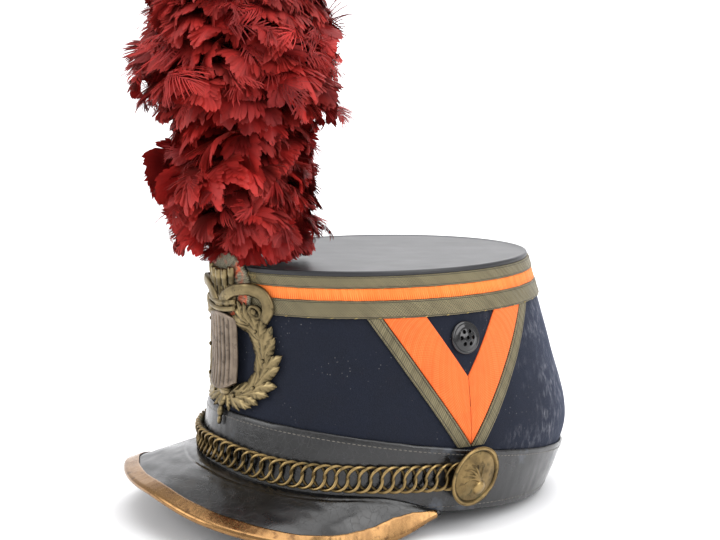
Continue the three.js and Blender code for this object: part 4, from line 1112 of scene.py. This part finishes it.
heap.add(grid, wrap=(False, True), uv=grid_uv(u, v))
hand_over(heap.build("cockade_pleats"), "tarnished_lace", bow_lace, "cockade")


def fine_threads(roots, ways, lengths, radius, seed):
    """Thin curled threads: each is 8 rings of 4 points along a bending line."""
    rng = np.random.default_rng(seed)
    n = len(roots)
    k = np.linspace(0, 1, 8)[None, :, None]
    bend = rng.normal(0, 0.5, (n, 1, 3)) * lengths[:, None, None]
    line = roots[:, None] + ways[:, None] * lengths[:, None, None] * k + bend * k**2 * 0.6
    turn = np.linspace(0, TAU, 4, endpoint=False)
    ring = np.stack([np.cos(turn), 0 * turn, np.sin(turn)], -1) * radius
    return line[:, :, None] + ring * (1 - 0.7 * k[..., None])


rng = np.random.default_rng(74)
FRAYS = 26
fx = 20.5 + rng.uniform(-1, 3.5, FRAYS)
fz = 129 + rng.uniform(-5, 4, FRAYS)
roots = wrap_front(fx, fz, 2.2)
ways = np.stack([rng.uniform(low, high, FRAYS) for low, high in ((0.2, 1.0), (-0.6, 0.2), (-0.8, 0.6))], -1)
frays = Heap()
add_many(frays, fine_threads(roots, ways, rng.uniform(2, 6, FRAYS), 0.12, 75))
hand_over(frays.build("frayed_threads"), "tarnished_lace", gold_thread)

# %% [markdown]
# The front plate is a stamping in one sheet: a fluted shield, a walled crown of towers over it, a
# ribbon that loops from the crown, and a wreath of laurel that opens upwards, with crossed stems
# and a small drop below. Its parts are laid out flat and then bent round the front of the hat.

# %% Plate layout and stamping
PLATE_NEAR, PLATE_OVER, SHIELD_LIFT = 1.6, 4.5, 4.3     # off the body: low down, over the cockade, shield
plate, plate_relief = Heap(), []
shield, shield_relief = Heap(), []


def plate_lift(x, z):
    """How far the sheet's back stands off the body: high over the cockade, low on the cloth, and
    clear of the band at its foot."""
    d = np.hypot(x, z - COCKADE_Z)
    over = PLATE_NEAR + (PLATE_OVER - PLATE_NEAR) * (1 - smooth(d, COCKADE_R - 0.5, COCKADE_R + 8))
    return over + 1.2 * (1 - smooth(z, 61, 66))


def shield_lift(x, z):
    """The shield's own distance: clear of the wreath at its foot, level with the sheet at its head."""
    return SHIELD_LIFT + (PLATE_OVER - SHIELD_LIFT) * smooth(z, 74, 108) + 0 * x


def stamp(heap, store, x, z, front, relief, back, lift=plate_lift):
    """A grid of the layout with heights becomes a thin raised sheet with a turned edge and a back."""
    wide_x, wide_z, f = (np.pad(q, 1, mode="edge") for q in (x, z, front))
    f[[0, -1], :], f[:, [0, -1]] = back, back
    grid = wrap_front(wide_x, wide_z, lift(wide_x, wide_z) + f)
    rear = wrap_front(x, z, lift(x, z) + back + 0 * x)
    turned = (np.cross(grid[2, 1] - grid[1, 1], grid[1, 2] - grid[1, 1]) @ np.array([0, -1, 0])) < 0
    heap.add(grid, flip=turned)
    store.append(np.pad(relief, 1, mode="edge").ravel())
    heap.add(rear[::-1], flip=turned)
    store.append(np.full(rear.shape[:2], 0.1).ravel())


LEAF_TEETH, LEAF_CURL = 5, 0.9


def leaf_grid(x, z, angle, length, width, lift, seed):
    """A laurel leaf: a pointed oval whose half width is a power of a sine, with a ridge along the
    middle, slanted veins and a toothed edge."""
    u = np.linspace(0, 1, 21)[:, None]
    v = np.linspace(-1, 1, 11)[None, :]
    toothed = 1 - 0.12 * np.abs(np.sin(LEAF_TEETH * np.pi * u))
    half = width / 2 * np.sin(np.pi * u**0.8) ** 0.9 * toothed + 0.05
    vein = 0.14 * np.sin(2 * np.pi * (LEAF_TEETH * u - 1.2 * np.abs(v))) * np.abs(v)
    h = lift + 1.25 * (1 - np.abs(v) ** 1.2 * 0.75) * (0.35 + 0.65 * np.sin(np.pi * u**0.7)) + vein
    h = h + LEAF_CURL * (u - 0.5) ** 2 + 0.25 * np.exp(-(v / 0.12) ** 2)
    a, b = u * length + 0 * v, half * v + 0.6 * np.sin(np.pi * u) * np.sin(seed * 2.1)
    c, s = np.cos(np.radians(angle)), np.sin(np.radians(angle))
    relief = np.clip(0.25 + 0.65 * (1 - np.abs(v)) + 2.0 * vein + 0 * u, 0, 1)
    return x + a * c - b * s, z + a * s + b * c, h, relief


def put_leaf(side, x, z, angle, length, width, lift, seed):
    """Stamps a leaf, laid out for the wearer's left, on either side of the plate."""
    leaf = leaf_grid(side * x, z, angle if side > 0 else 180 - angle, length, width, lift, seed)
    stamp(plate, plate_relief, *leaf, lift - 0.2)


def strip_grid(points, half, lift, rows=40):
    """A ribbon of changing half width along a smooth line, its height falling with the square of
    the distance from the middle, with a raised hem on both sides."""
    points = np.asarray(points, float)
    s = np.linspace(0, len(points) - 1, len(points))
    k = np.linspace(0, len(points) - 1, rows)
    x, z, lift_k = (curve(s, points[:, i])(k) for i in (0, 1, 2))
    dx, dz = np.gradient(x), np.gradient(z)
    size = np.hypot(dx, dz)
    v = np.linspace(-1, 1, 9)[None, :]
    half = np.asarray(half) if np.ndim(half) else np.full(rows, half)
    gx = x[:, None] - dz[:, None] / size[:, None] * half[:, None] * v
    gz = z[:, None] + dx[:, None] / size[:, None] * half[:, None] * v
    hem = 0.25 * np.exp(-((np.abs(v) - 0.85) / 0.12) ** 2)
    h = lift + lift_k[:, None] + 0.7 * (1 - v**2) + hem
    relief = np.clip(0.4 + 0.3 * (1 - v**2) + hem * 1.5 + 0 * h, 0, 1)
    return gx, gz, h, relief


print("the plate's back stands off the body by", PLATE_NEAR, "to", PLATE_OVER, "mm")

# %% [markdown]
# The shield is slightly domed, with seven flutes inside a smooth border. It stands in front of the
# wreath, held by two short posts. One height over a grid gives dome, flutes and border together.

# %% Shield
u = np.linspace(-1, 1, 113)[None, :]
w = np.linspace(0, 1, 60)[:, None]
sx = 12.3 * u + 0 * w
foot = 70 + 4.5 * np.abs(u) ** 2
head = 110.5 - 2.6 * np.abs(u) ** 1.6
sz = foot + (head - foot) * w
inside = smooth(1 - np.abs(u), 0.06, 0.14) * smooth(w, 0.02, 0.06) * smooth(1 - w, 0.03, 0.07)
flute = 0.75 * np.abs(np.sin(3.5 * np.pi * (u / 0.92 + 1))) ** 0.6
rough_hand = 0.12 * ripple(9 * u, 7 * w, 91, 7, 1.5)
border = 0.75 * (1 - inside) * smooth(1 - np.abs(u), 0.0, 0.05)
sh = 1.2 + 1.5 * (1 - u**2) + flute * inside + border + rough_hand
rubbed = np.clip(0.25 + 0.8 * flute * inside + 0.5 * (1 - inside) + 0 * sz, 0, 1)
stamp(shield, shield_relief, sx, sz, sh + 0 * sz, rubbed, 0.2, shield_lift)
hand_over(shield.build("plate_shield", values={"relief": np.concatenate(shield_relief)}), "aged_brass",
          shield_brass)

# %% [markdown]
# The walled crown has two hoops, a wall with courses of stone, and five towers with a door, a
# lip and battlements. Towers towards the sides stand a little higher and further back, so that the
# flat layout looks round.

# %% Walled crown
for hoop_z, hoop_lift in ((112.0, 2.2), (115.4, 1.9)):
    hoop = [(-12.6, hoop_z + 1.4, 0), (-6, hoop_z + 0.3, 0.6), (0, hoop_z, 0.9), (6, hoop_z + 0.3, 0.6),
            (12.6, hoop_z + 1.4, 0)]
    stamp(plate, plate_relief, *strip_grid(hoop, 1.3, hoop_lift), 0.6)
TOWER_PITCH = 4.9
for i in range(-2, 3):
    x0, back_off = TOWER_PITCH * i, 0.02 * (TOWER_PITCH * i) ** 2
    u, w = np.linspace(-1, 1, 13)[None, :], np.linspace(0, 1, 25)[:, None]
    wx = x0 + 2.5 * u + 0 * w
    wz = 112 + 12.2 * w + 0 * u + back_off
    courses = 0.14 * np.abs(np.sin(5 * np.pi * w)) + 0 * u
    wall_height = 1.5 - 0.02 * x0**2 / 2 + 0.45 * (1 - u**2) + courses
    stamp(plate, plate_relief, wx, wz, wall_height, np.clip(0.3 + courses * 2.5, 0, 1), 0.3)
    u, w = np.linspace(-1, 1, 15)[None, :], np.linspace(0, 1, 25)[:, None]
    tx = x0 + 1.65 * u * (1 + 0.22 * smooth(w, 0.62, 0.78))
    notch = (np.abs(np.abs(u) - 0.42) < 0.16) * smooth(w, 0.84, 0.86)
    tz = 119 + (13.6 - 1.6 * notch) * w + back_off
    door = -0.55 * (1 - smooth(np.hypot(u * 1.7, np.maximum((w - 0.3) * 12, 0) * 0.8), 0.5, 0.75)) * (w > 0.04)
    lip = 0.35 * smooth(w, 0.6, 0.66)
    tower_height = 2.1 - 0.01 * x0**2 + 0.7 * (1 - u**2) + door + lip
    stamp(plate, plate_relief, tx, tz, tower_height, np.clip(0.5 + door + lip + 0 * tz, 0, 1), 0.3)
print("tower tops at", round(119 + 13.6 + z_shift, 1), "mm")

# %% [markdown]
# A ribbon runs from the crown over each shoulder and folds back into a loop. Below it the wreath
# is laurel: three leaves at each of 13 places along a stem, turned a little to and fro, with a
# berry at every third place, and four longer leaves where the stems cross.

# %% Ribbon and wreath
# the ribbon's middle line: across, height, distance off the sheet
RIBBON = [(0.5, 113, 1.2), (6, 119, 1.4), (14.6, 123.3, 1.2), (22, 124.3, 1.0), (29.3, 120.7, 0.8),
          (31.6, 114.5, 0.7), (28.6, 108.0, 0.5)]
# the wreath's stem: across and height
WREATH = np.array([(5, 67), (13, 68), (21, 71.5), (26.5, 78), (28.5, 87), (27, 96), (23, 103.5),
                   (18, 108)], float)
# the leaves at one place: turn, distance off the sheet, length, width
SPRIG = [(34, 0.25, 12.5, 6.6), (-32, 0.35, 12.8, 6.8), (4, 0.7, 12.0, 5.6)]
# the leaves at the crossing: across, height, angle, length, width, distance off the sheet
CROSSING = [(4, 68, -14, 20, 7.0, 0.5), (3, 68, -30, 15, 5.6, 0.3), (6, 69, 8, 16, 6.0, 0.3),
            (2, 67, -52, 10, 4.6, 0.6)]
PLACES = 13
wreath_s = np.linspace(0, 1, len(WREATH))
wreath_x, wreath_z = curve(wreath_s, WREATH[:, 0]), curve(wreath_s, WREATH[:, 1])
for side in (1, -1):
    rows = 56
    half = np.interp(np.linspace(0, 1, rows), [0, 0.15, 0.8, 1.0], [1.8, 2.9, 3.2, 2.6])
    gx, gz, h, rel = strip_grid([(side * x, z, d) for x, z, d in RIBBON], half, 1.0, rows)
    h = h + 0.3 * np.sin(np.linspace(0, 4.2 * np.pi, rows))[:, None] * np.linspace(-1, 1, 9)[None, :]
    stamp(plate, plate_relief, gx, gz, h, rel, 0.4)
    # the ribbon's end is folded back into a small loop round a slot
    a = np.linspace(0, TAU, 40)[:, None]
    k = np.linspace(-1, 1, 9)[None, :]
    tilt = side * 0.45
    lx = (1.2 + 1.15 * (k + 1)) * np.cos(a)
    lz = (2.1 + 1.1 * (k + 1)) * np.sin(a)
    ring_x = side * 24.2 + lx * np.cos(tilt) - lz * np.sin(tilt)
    ring_z = 112.3 + lx * np.sin(tilt) + lz * np.cos(tilt)
    bead = 1.0 + 0.9 * (1 - k**2) + 0 * ring_x
    stamp(plate, plate_relief, ring_x, ring_z, bead, 0.3 + 0.5 * (bead - 1.0), 0.3)
    for i in range(PLACES):
        kk = i / (PLACES - 1)
        x0, z0 = wreath_x(kk), wreath_z(kk)
        after, before = min(kk + 0.05, 1), max(kk - 0.05, 0)
        way = np.degrees(np.arctan2(wreath_z(after) - wreath_z(before), wreath_x(after) - wreath_x(before)))
        size = 0.82 + 0.3 * np.sin(np.pi * kk) ** 0.7
        for j, (turn, d, length, width) in enumerate(SPRIG):
            angle = way + turn + 5 * np.sin(2.7 * i + j)
            put_leaf(side, x0, z0, angle, length * size, width * size, d + 0.15 * (i % 2), i * 3 + j)
        if i % 3 == 1:
            bu, bw = np.linspace(0.02, np.pi / 2, 7)[:, None], np.linspace(0, TAU, 13)[None, :]
            berry_x = side * x0 + 1.2 * np.sin(bu) * np.cos(bw)
            berry_z = z0 + 1.2 * np.sin(bu) * np.sin(bw)
            stamp(plate, plate_relief, berry_x, berry_z,
                  2.0 + 1.1 * np.cos(bu) + 0 * bw, 0.9 * np.cos(bu) + 0 * bw, 0.8)
    for x0, z0, angle, length, width, d in CROSSING:
        put_leaf(side, x0, z0, angle, length, width, d, length)
print("leaves:", 2 * (PLACES * len(SPRIG) + len(CROSSING)))

# %% [markdown]
# A knot hides the crossing of the stems, and three beads that get smaller hang under it. Each is
# half an ellipsoid, a dome whose height goes with the cosine. The sheet is then handed over as one
# piece, and the posts that hold the shield follow.

# %% Knot, drop and posts
# across, height, half width, half height, distance off the sheet, dome
BEADS = [(0, 69.0, 6.0, 3.0, 1.5, 1.3), (0, 63.5, 3.4, 3.4, 1.0, 1.4), (0, 57.8, 2.6, 3.2, 0.9, 1.3),
         (0, 53.2, 1.7, 2.6, 0.7, 1.0)]
u, w = np.linspace(0.02, np.pi / 2, 9)[:, None], np.linspace(0, TAU, 25)[None, :]
for cx, cz, rx, rz, lift, dome in BEADS:
    bx, bz = cx + rx * np.sin(u) * np.cos(w), cz + rz * np.sin(u) * np.sin(w)
    stamp(plate, plate_relief, bx, bz, lift + dome * np.cos(u) + 0 * w, 0.2 + 0.7 * np.cos(u) + 0 * w, 0.2)
hand_over(plate.build("plate_wreath_and_crown", values={"relief": np.concatenate(plate_relief)}),
          "aged_brass", plate_brass, "front_plate")

POST_X, POST_Z, POST_HALF = 6.0, 74.5, 1.6
posts = Heap()
a = np.linspace(0, TAU, 16, endpoint=False)[None, :]
hh = np.linspace(0.4, SHIELD_LIFT + 0.6, 5)[:, None]
for px in (-POST_X, POST_X):
    ring_x, ring_z = px + POST_HALF * np.cos(a) + 0 * hh, POST_Z + POST_HALF * np.sin(a) + 0 * hh
    posts.add(wrap_front(ring_x, ring_z, hh + 0 * a), wrap=(False, True))
hand_over(posts.build("plate_posts", values={"relief": np.full(posts.count, 0.2)}), "aged_brass", plate_brass)

# %% [markdown]
# The plume is a long bush of red cock feathers bound in whorls up a wire. Each feather springs out
# and a little up, then bends down under its own weight, so the whorls lie over each other like
# ruffles. A feather is a shaft with pairs of soft barbs; near the shaft the barbs
# lie side by side as a vane, and they part into a fringe at their tips.

# %% Plume stem
PLUME_Y, STEM_R, FOOT_R = -80.0, 2.6, 9.0
foot_height = 135.45
# radius and height of the foot and the wire
stem = np.array([(0.02, 0), (FOOT_R - 0.4, 0), (FOOT_R, 0.35), (FOOT_R, 0.8), (FOOT_R - 0.5, 1.1),
                 (STEM_R + 1.2, 1.5), (STEM_R + 0.3, 2.6), (STEM_R, 4.0), (STEM_R, 60), (STEM_R, 124),
                 (STEM_R - 0.4, 127.5), (0.02, 128.4)])
a = np.linspace(0, TAU, 48, endpoint=False)
grid = np.stack([stem[:, :1] * np.cos(a), PLUME_Y + ORIGIN_Y + stem[:, :1] * np.sin(a),
                 foot_height + z_shift + stem[:, 1:] + 0 * a], -1)
heap = Heap()
heap.add(grid, wrap=(False, True), flip=True)
hand_over(heap.build("plume_wire_and_socket"), "black_japan", japan, "plume_stem")

# %% [markdown]
# The plume isn't an even brush. Two tiers flare out, with a waist between them, and the front
# sticks out further than the rear. Half widths in two directions, at heights where the outline
# turns, give a smooth shape that the feathers' tips then follow.

# %% Plume outline
# half widths of the plume at each height, towards the front right and towards the rear left
OUTLINE = np.array([
    # height, front right, rear left
    (137, 16, 22), (142, 33, 34), (149, 40, 44), (157, 43, 37), (168, 50, 34), (175, 56, 34), (186, 45, 35),
    (198, 38, 35), (206, 37, 38), (212, 46, 49), (219, 54, 48), (228, 60, 47), (240, 53, 50), (252, 55, 48),
    (266, 53, 44), (280, 49, 42), (294, 42, 37), (306, 30, 28), (314, 17, 17), (319, 6, 6),
])
lean_dir = np.radians(57.7)                      # the rear left direction, seen from above
front_width, rear_width = (curve(OUTLINE[:, 0], OUTLINE[:, k]) for k in (1, 2))


def plume_radius(z, around):
    """Half width at a height and a direction round the stem: a smooth blend of the two outlines."""
    share = (1 + np.cos(around - lean_dir)) / 2
    return front_width(z) * (1 - share) + rear_width(z) * share


print("the plume is up to", OUTLINE[:, 1:].sum(1).max(), "mm through")

# %% [markdown]
# Feathers could be cards with a picture of a feather, or hair strands. Cards need an image and
# hair is lost in the export, so each barb is a narrow strip of four quads. The shafts, the angle at
# which barbs leave them, their length and their bend are arrays over feathers and pairs of barbs,
# so a whole layer of feathers is one sum.

# %% Feathers
def drifting(rng, n, m, span=8):
    """Noise that changes slowly along a row: a moving average of seeded normal numbers."""
    total = np.cumsum(rng.normal(size=(n, m + span)), axis=1)
    return (total[:, span:] - total[:, :-span]) / span**0.5


ROOT_R = 4.0                                     # feathers are bound on at this radius
BARB = np.array([0, 0.34, 0.66, 0.9, 1.0])       # points along a barb and its half width at each
BARB_FORM = np.array([1.0, 1.1, 1.2, 0.95, 0.06])


def feathers(name, tip_z, around, share, length, width, seed, pairs, tone_mid, vane, loose):
    """Feathers whose tips hang at given heights and directions. Along the shaft, v from 0 to 1, the
    distance from the stem grows fast and then levels off, and the height first rises and then
    falls with v squared. Barbs leave the shaft in pairs, w from 0 to 1, and bend towards its tip."""
    rng = np.random.default_rng(seed)
    n = len(tip_z)
    reach = plume_radius(tip_z, around) * share - 5.0
    root_r = np.maximum(reach - length, ROOT_R)
    sway = rng.normal(0, 0.3, n)
    drop = rng.uniform(9, 21, n) * np.clip(length / 34, 0.5, 1.2)
    rise = rng.uniform(0.3, 0.7, n) * drop
    v = np.linspace(0, 1, pairs + 1)
    rho = root_r[:, None] + (reach - root_r)[:, None] * (1 - (1 - v) ** 1.5)
    ang = around[:, None] + sway[:, None] * v**1.6
    z = tip_z[:, None] + drop[:, None] * (1 - v**2.3) - rise[:, None] * (1 - v) ** 1.5 * 1.6
    p = np.stack([rho * np.cos(ang), PLUME_Y + ORIGIN_Y + rho * np.sin(ang), z + z_shift], -1)
    tangent = np.gradient(p, axis=1)
    tangent /= np.linalg.norm(tangent, axis=-1, keepdims=True)
    radial = np.stack([np.cos(around), np.sin(around), 0.7 + 0 * around], -1)[:, None] + 0 * p
    lateral = np.cross(tangent, radial)
    lateral /= np.linalg.norm(lateral, axis=-1, keepdims=True)
    normal = np.cross(lateral, tangent)
    roll = rng.normal(0, 0.34, (n, 1, 1)) + rng.normal(0, 0.4, (n, 1, 1)) * v[None, :, None]
    lateral, normal = (lateral * np.cos(roll) + normal * np.sin(roll),
                       normal * np.cos(roll) - lateral * np.sin(roll))
    size = width[:, None] * (0.5 + 0.5 * np.sin(np.pi * v**0.75) ** 0.7)[None, :] * (1 - 0.3 * v[None, :] ** 5)
    w, form = BARB, BARB_FORM
    heap, tones, outs = Heap(), [], []
    tone = np.clip(rng.normal(tone_mid, 0.28, n), 0, 1)
    m = len(v)
    for hand in (-1.0, 1.0):
        sized = size * (1 + 0.12 * loose * drifting(rng, n, m)) * rng.uniform(0.9, 1.05, (n, m))
        spread = (np.radians(64 - 50 * v**2.4)[None, :] + 0.15 * loose * drifting(rng, n, m, 5)
                  + rng.normal(0, 0.022 * loose, (n, m)))
        bend = np.radians(rng.uniform(14, 34, (n, 1))) + 0.1 * loose * drifting(rng, n, m)
        angle = (spread[..., None] - bend[..., None] * w)
        part = np.diff(w, prepend=0) * sized[..., None]
        fwd = np.cumsum(np.cos(angle) * part, -1)
        sid = np.cumsum(np.sin(angle) * part, -1)
        curl = rng.uniform(0.05, 0.42, (n, 1, 1)) + 0.06 * loose * drifting(rng, n, m)[..., None]
        line = (p[:, :, None] + fwd[..., None] * tangent[:, :, None] + hand * sid[..., None] * lateral[:, :, None]
                - (curl * sized[..., None] * w**2)[..., None] * normal[:, :, None])
        line[..., 2] -= 0.04 * sized[..., None] * w**2
        flat = (np.cos(angle)[..., None] * lateral[:, :, None]
                - hand * np.sin(angle)[..., None] * tangent[:, :, None])
        pitch = np.linalg.norm(np.diff(p, axis=1), axis=-1).mean(1)
        half = vane * pitch[:, None, None] * form
        strips = np.stack([line - flat * half[..., None], line + flat * half[..., None]], 3)
        strips = strips.reshape(n * m, len(w), 2, 3)
        floor_z = foot_height + z_shift + 0.4 + 1.5 * rng.random((n * m, 1, 1))
        strips[..., 2] = np.maximum(strips[..., 2], floor_z)
        add_many(heap, strips, wrap=(False, False))
        streaky = tone[:, None] + (0.07 * drifting(rng, n, m) + rng.normal(0, 0.07, (n, m)))
        outwards = (0.3 + 0.7 * v[None, :, None, None]) * (0.35 + 0.65 * w[None, None, :, None])
        tones.append(np.broadcast_to(streaky[..., None, None], (n, m, len(w), 2)).ravel())
        outs.append(np.broadcast_to(outwards, (n, m, len(w), 2)).ravel())
    values = {"tone": np.clip(np.concatenate(tones), 0, 1), "outwards": np.concatenate(outs)}
    hand_over(heap.build(name, values=values), "red_feather", feather)
    return p, normal


# %% [markdown]
# The plume is bound in five layers: three of full feathers one above the other, short ones inside
# whose dark tone is painted shade that closes the view through, and a few loose wisps outside. Each
# layer goes up in whorls, and every tip is moved a little by a seeded chance, so no whorl looks like the next.

# %% Feathers in whorls
rng = np.random.default_rng(2024)
TIP_LOW, TIP_HIGH = 138.5, 308.0
quills = Heap()
LAYERS = [
    # name, lowest and highest tip, whorl spacing, gap between neighbours, share of the half width,
    # length, width, pairs of barbs, tone, half width of a barb to their spacing, looseness
    ("plume_feathers_low", 139.0, 190.0, 6.4, 14.5, 1.0, 36, 15.5, 46, 0.5, 1.2, 0.75),
    ("plume_feathers_mid", 193.0, 250.0, 6.6, 15.5, 1.0, 38, 16.5, 46, 0.45, 1.2, 0.75),
    ("plume_feathers_high", 253.0, 308.0, 6.6, 15.5, 1.0, 37, 16.0, 46, 0.5, 1.2, 0.75),
    # the inner layer's low tone of 0.12 is painted shade inside the plume
    ("plume_feathers_inner", 146.0, 306.0, 10.0, 12.0, 0.62, 24, 13.0, 26, 0.12, 1.15, 1.0),
    ("plume_wisps", 150.0, 306.0, 11.0, 24.0, 1.12, 26, 12.0, 26, 0.4, 0.16, 2.2),
]
for index, (name, low, high, gap, beside, share, long, wide, *make) in enumerate(LAYERS):
    tips, ways = [], []
    for z in np.arange(low, high, gap):
        girth = TAU * (front_width(z) + rear_width(z)) / 2 * share * 0.8
        m = max(5, int(girth / beside))
        ways.append(np.arange(m) / m * TAU + rng.uniform(0, TAU))
        tips.append(np.full(m, z))
    around, tip_z = np.concatenate(ways), np.concatenate(tips)
    around = around + rng.normal(0, 0.06, len(around))
    tip_z = np.clip(tip_z + rng.normal(0, 2.4, len(tip_z)), TIP_LOW, TIP_HIGH)
    shares = share * np.clip(rng.normal(0.97, 0.07, len(tip_z)), 0.75, 1.1)
    lengths = rng.uniform(0.8, 1.15, len(tip_z)) * long
    widths = rng.uniform(0.8, 1.25, len(tip_z)) * wide
    shaft_points, normals = feathers(name, tip_z, around, shares, lengths, widths, 300 + index, *make)
    if share == 1:
        pick = rng.random(len(tip_z)) < 0.4
        line = shaft_points[pick][:, ::5] + normals[pick][:, ::5] * 0.1
        turn = np.linspace(0, TAU, 4, endpoint=False)
        ring = np.stack([np.cos(turn), np.sin(turn), 0 * turn], -1) * 0.17
        taper = np.linspace(1.2, 0.25, line.shape[1])[None, :, None, None]
        tubes = line[:, :, None] + ring * taper
        tubes[..., 2] = np.maximum(tubes[..., 2], foot_height + z_shift + 0.6)
        add_many(quills, tubes)
hand_over(quills.build("plume_quills"), "red_feather", quill)
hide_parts("plume")

# %% [markdown]
# The hat stands on a plain pale sweep that turns up far behind it, so there is no horizon. Large
# soft lamps above and at both sides give gentle shadows, as in a product studio, and a bright
# world keeps the black leather from going flat.

# %% Floor and light
VIEW_TURN = 57.679                               # degrees from the front, the side that is looked at
floor_u = np.linspace(0, 1, 80)
reach_back = np.interp(floor_u, [0, 0.55, 1], [-3.0, 2.2, 4.2])
rise_back = np.where(floor_u < 0.55, 0, 1.6 * ((floor_u - 0.55) / 0.45) ** 2 * 2.2)
turn = np.radians(VIEW_TURN)
side_way = np.array([np.cos(turn), np.sin(turn)])
far_way = np.array([-np.sin(turn), np.cos(turn)])
cross = np.linspace(-5, 5, 12)
plan = reach_back[:, None, None] * far_way + cross[None, :, None] * side_way
sweep = np.concatenate([plan, (rise_back[:, None] + 0 * cross)[..., None]], -1) / MM
faces = grid_faces(sweep.shape[:2])
floor = build("studio_sweep", sweep, faces, np.zeros((len(faces), 4, 2)))
paper, tree, shader = finish("pale_paper", specular=0.15)
xyz = object_coords(tree)
colour = blend_colour(tree, noise(tree, xyz, 2.0, 3.0), linear(244, 244, 246), linear(250, 250, 251))
surface(tree, shader, colour, remap(tree, noise(tree, xyz, 6.0, 2.0), 0.0, 1.0, 0.8, 0.95))
floor.data.materials.append(paper)


def facing(x, y, z, place):
    """The matrix of an object whose own axes are x, y and z and whose origin is at a place."""
    rows = np.eye(4)
    rows[:3, 0], rows[:3, 1], rows[:3, 2], rows[:3, 3] = x, y, z, place
    return Matrix(rows.tolist())


def lamp(name, place, target, size, watts):
    """A square soft box that faces its target."""
    light = bpy.data.lights.new(name, "AREA")
    light.shape, light.size, light.energy = "SQUARE", size, watts
    ob = bpy.data.objects.new(name, light)
    bpy.context.scene.collection.objects.link(ob)
    z = np.array(place, float) - np.array(target, float)
    z /= np.linalg.norm(z)
    x = np.cross([0, 0, 1.0], z)
    x /= np.linalg.norm(x)
    ob.matrix_world = facing(x, np.cross(z, x), z, place)


AIM = (0, 0, 0.14)
lamp("overhead_soft_box", (0.1, 0.1, 1.5), AIM, 1.5, 17)
lamp("right_soft_box", (1.15, 0.35, 0.7), AIM, 0.9, 9)
lamp("left_soft_box", (-0.35, -1.25, 0.75), AIM, 0.9, 8)
lamp("backdrop_wash", (1.2 * far_way[0], 1.5, 2.6), (*(far_way * 3.6), 0.9), 1.6, 90)
world = bpy.data.worlds.new("studio_world")
world.use_nodes = True
world.node_tree.nodes["Background"].inputs["Color"].default_value = (1, 1, 1, 1)
world.node_tree.nodes["Background"].inputs["Strength"].default_value = 0.72
bpy.context.scene.world = world
bpy.context.scene.view_settings.view_transform = "Standard"

# %% [markdown]
# The camera stands on the wearer's left, well round towards the front and a little above the
# middle. A long lens from less than a metre keeps the oval top flat and the peak in proportion.

# %% Camera
VIEW_RISE, DISTANCE, LENS = 8.683, 807.511, 73.297      # degrees, and millimetres twice
AIM_ACROSS, AIM_HEIGHT, SHIFT_Y = -9.584, 114.958, 0.0235
rise = np.radians(VIEW_RISE)
back = np.array([np.sin(turn) * np.cos(rise), -np.cos(turn) * np.cos(rise), np.sin(rise)])
right = np.array([np.cos(turn), np.sin(turn), 0])
up = np.cross(back, right)
aim = right * AIM_ACROSS + np.array([0, ORIGIN_Y, AIM_HEIGHT + z_shift])
camera_data = bpy.data.cameras.new("camera")
camera_data.sensor_width, camera_data.lens, camera_data.shift_y = 36, LENS, SHIFT_Y
camera = bpy.data.objects.new("camera", camera_data)
bpy.context.scene.collection.objects.link(camera)
camera.matrix_world = facing(right, up, back, (aim + back * DISTANCE) * MM)
bpy.context.scene.camera = camera
print("camera at", [round(c, 3) for c in camera.matrix_world.translation])
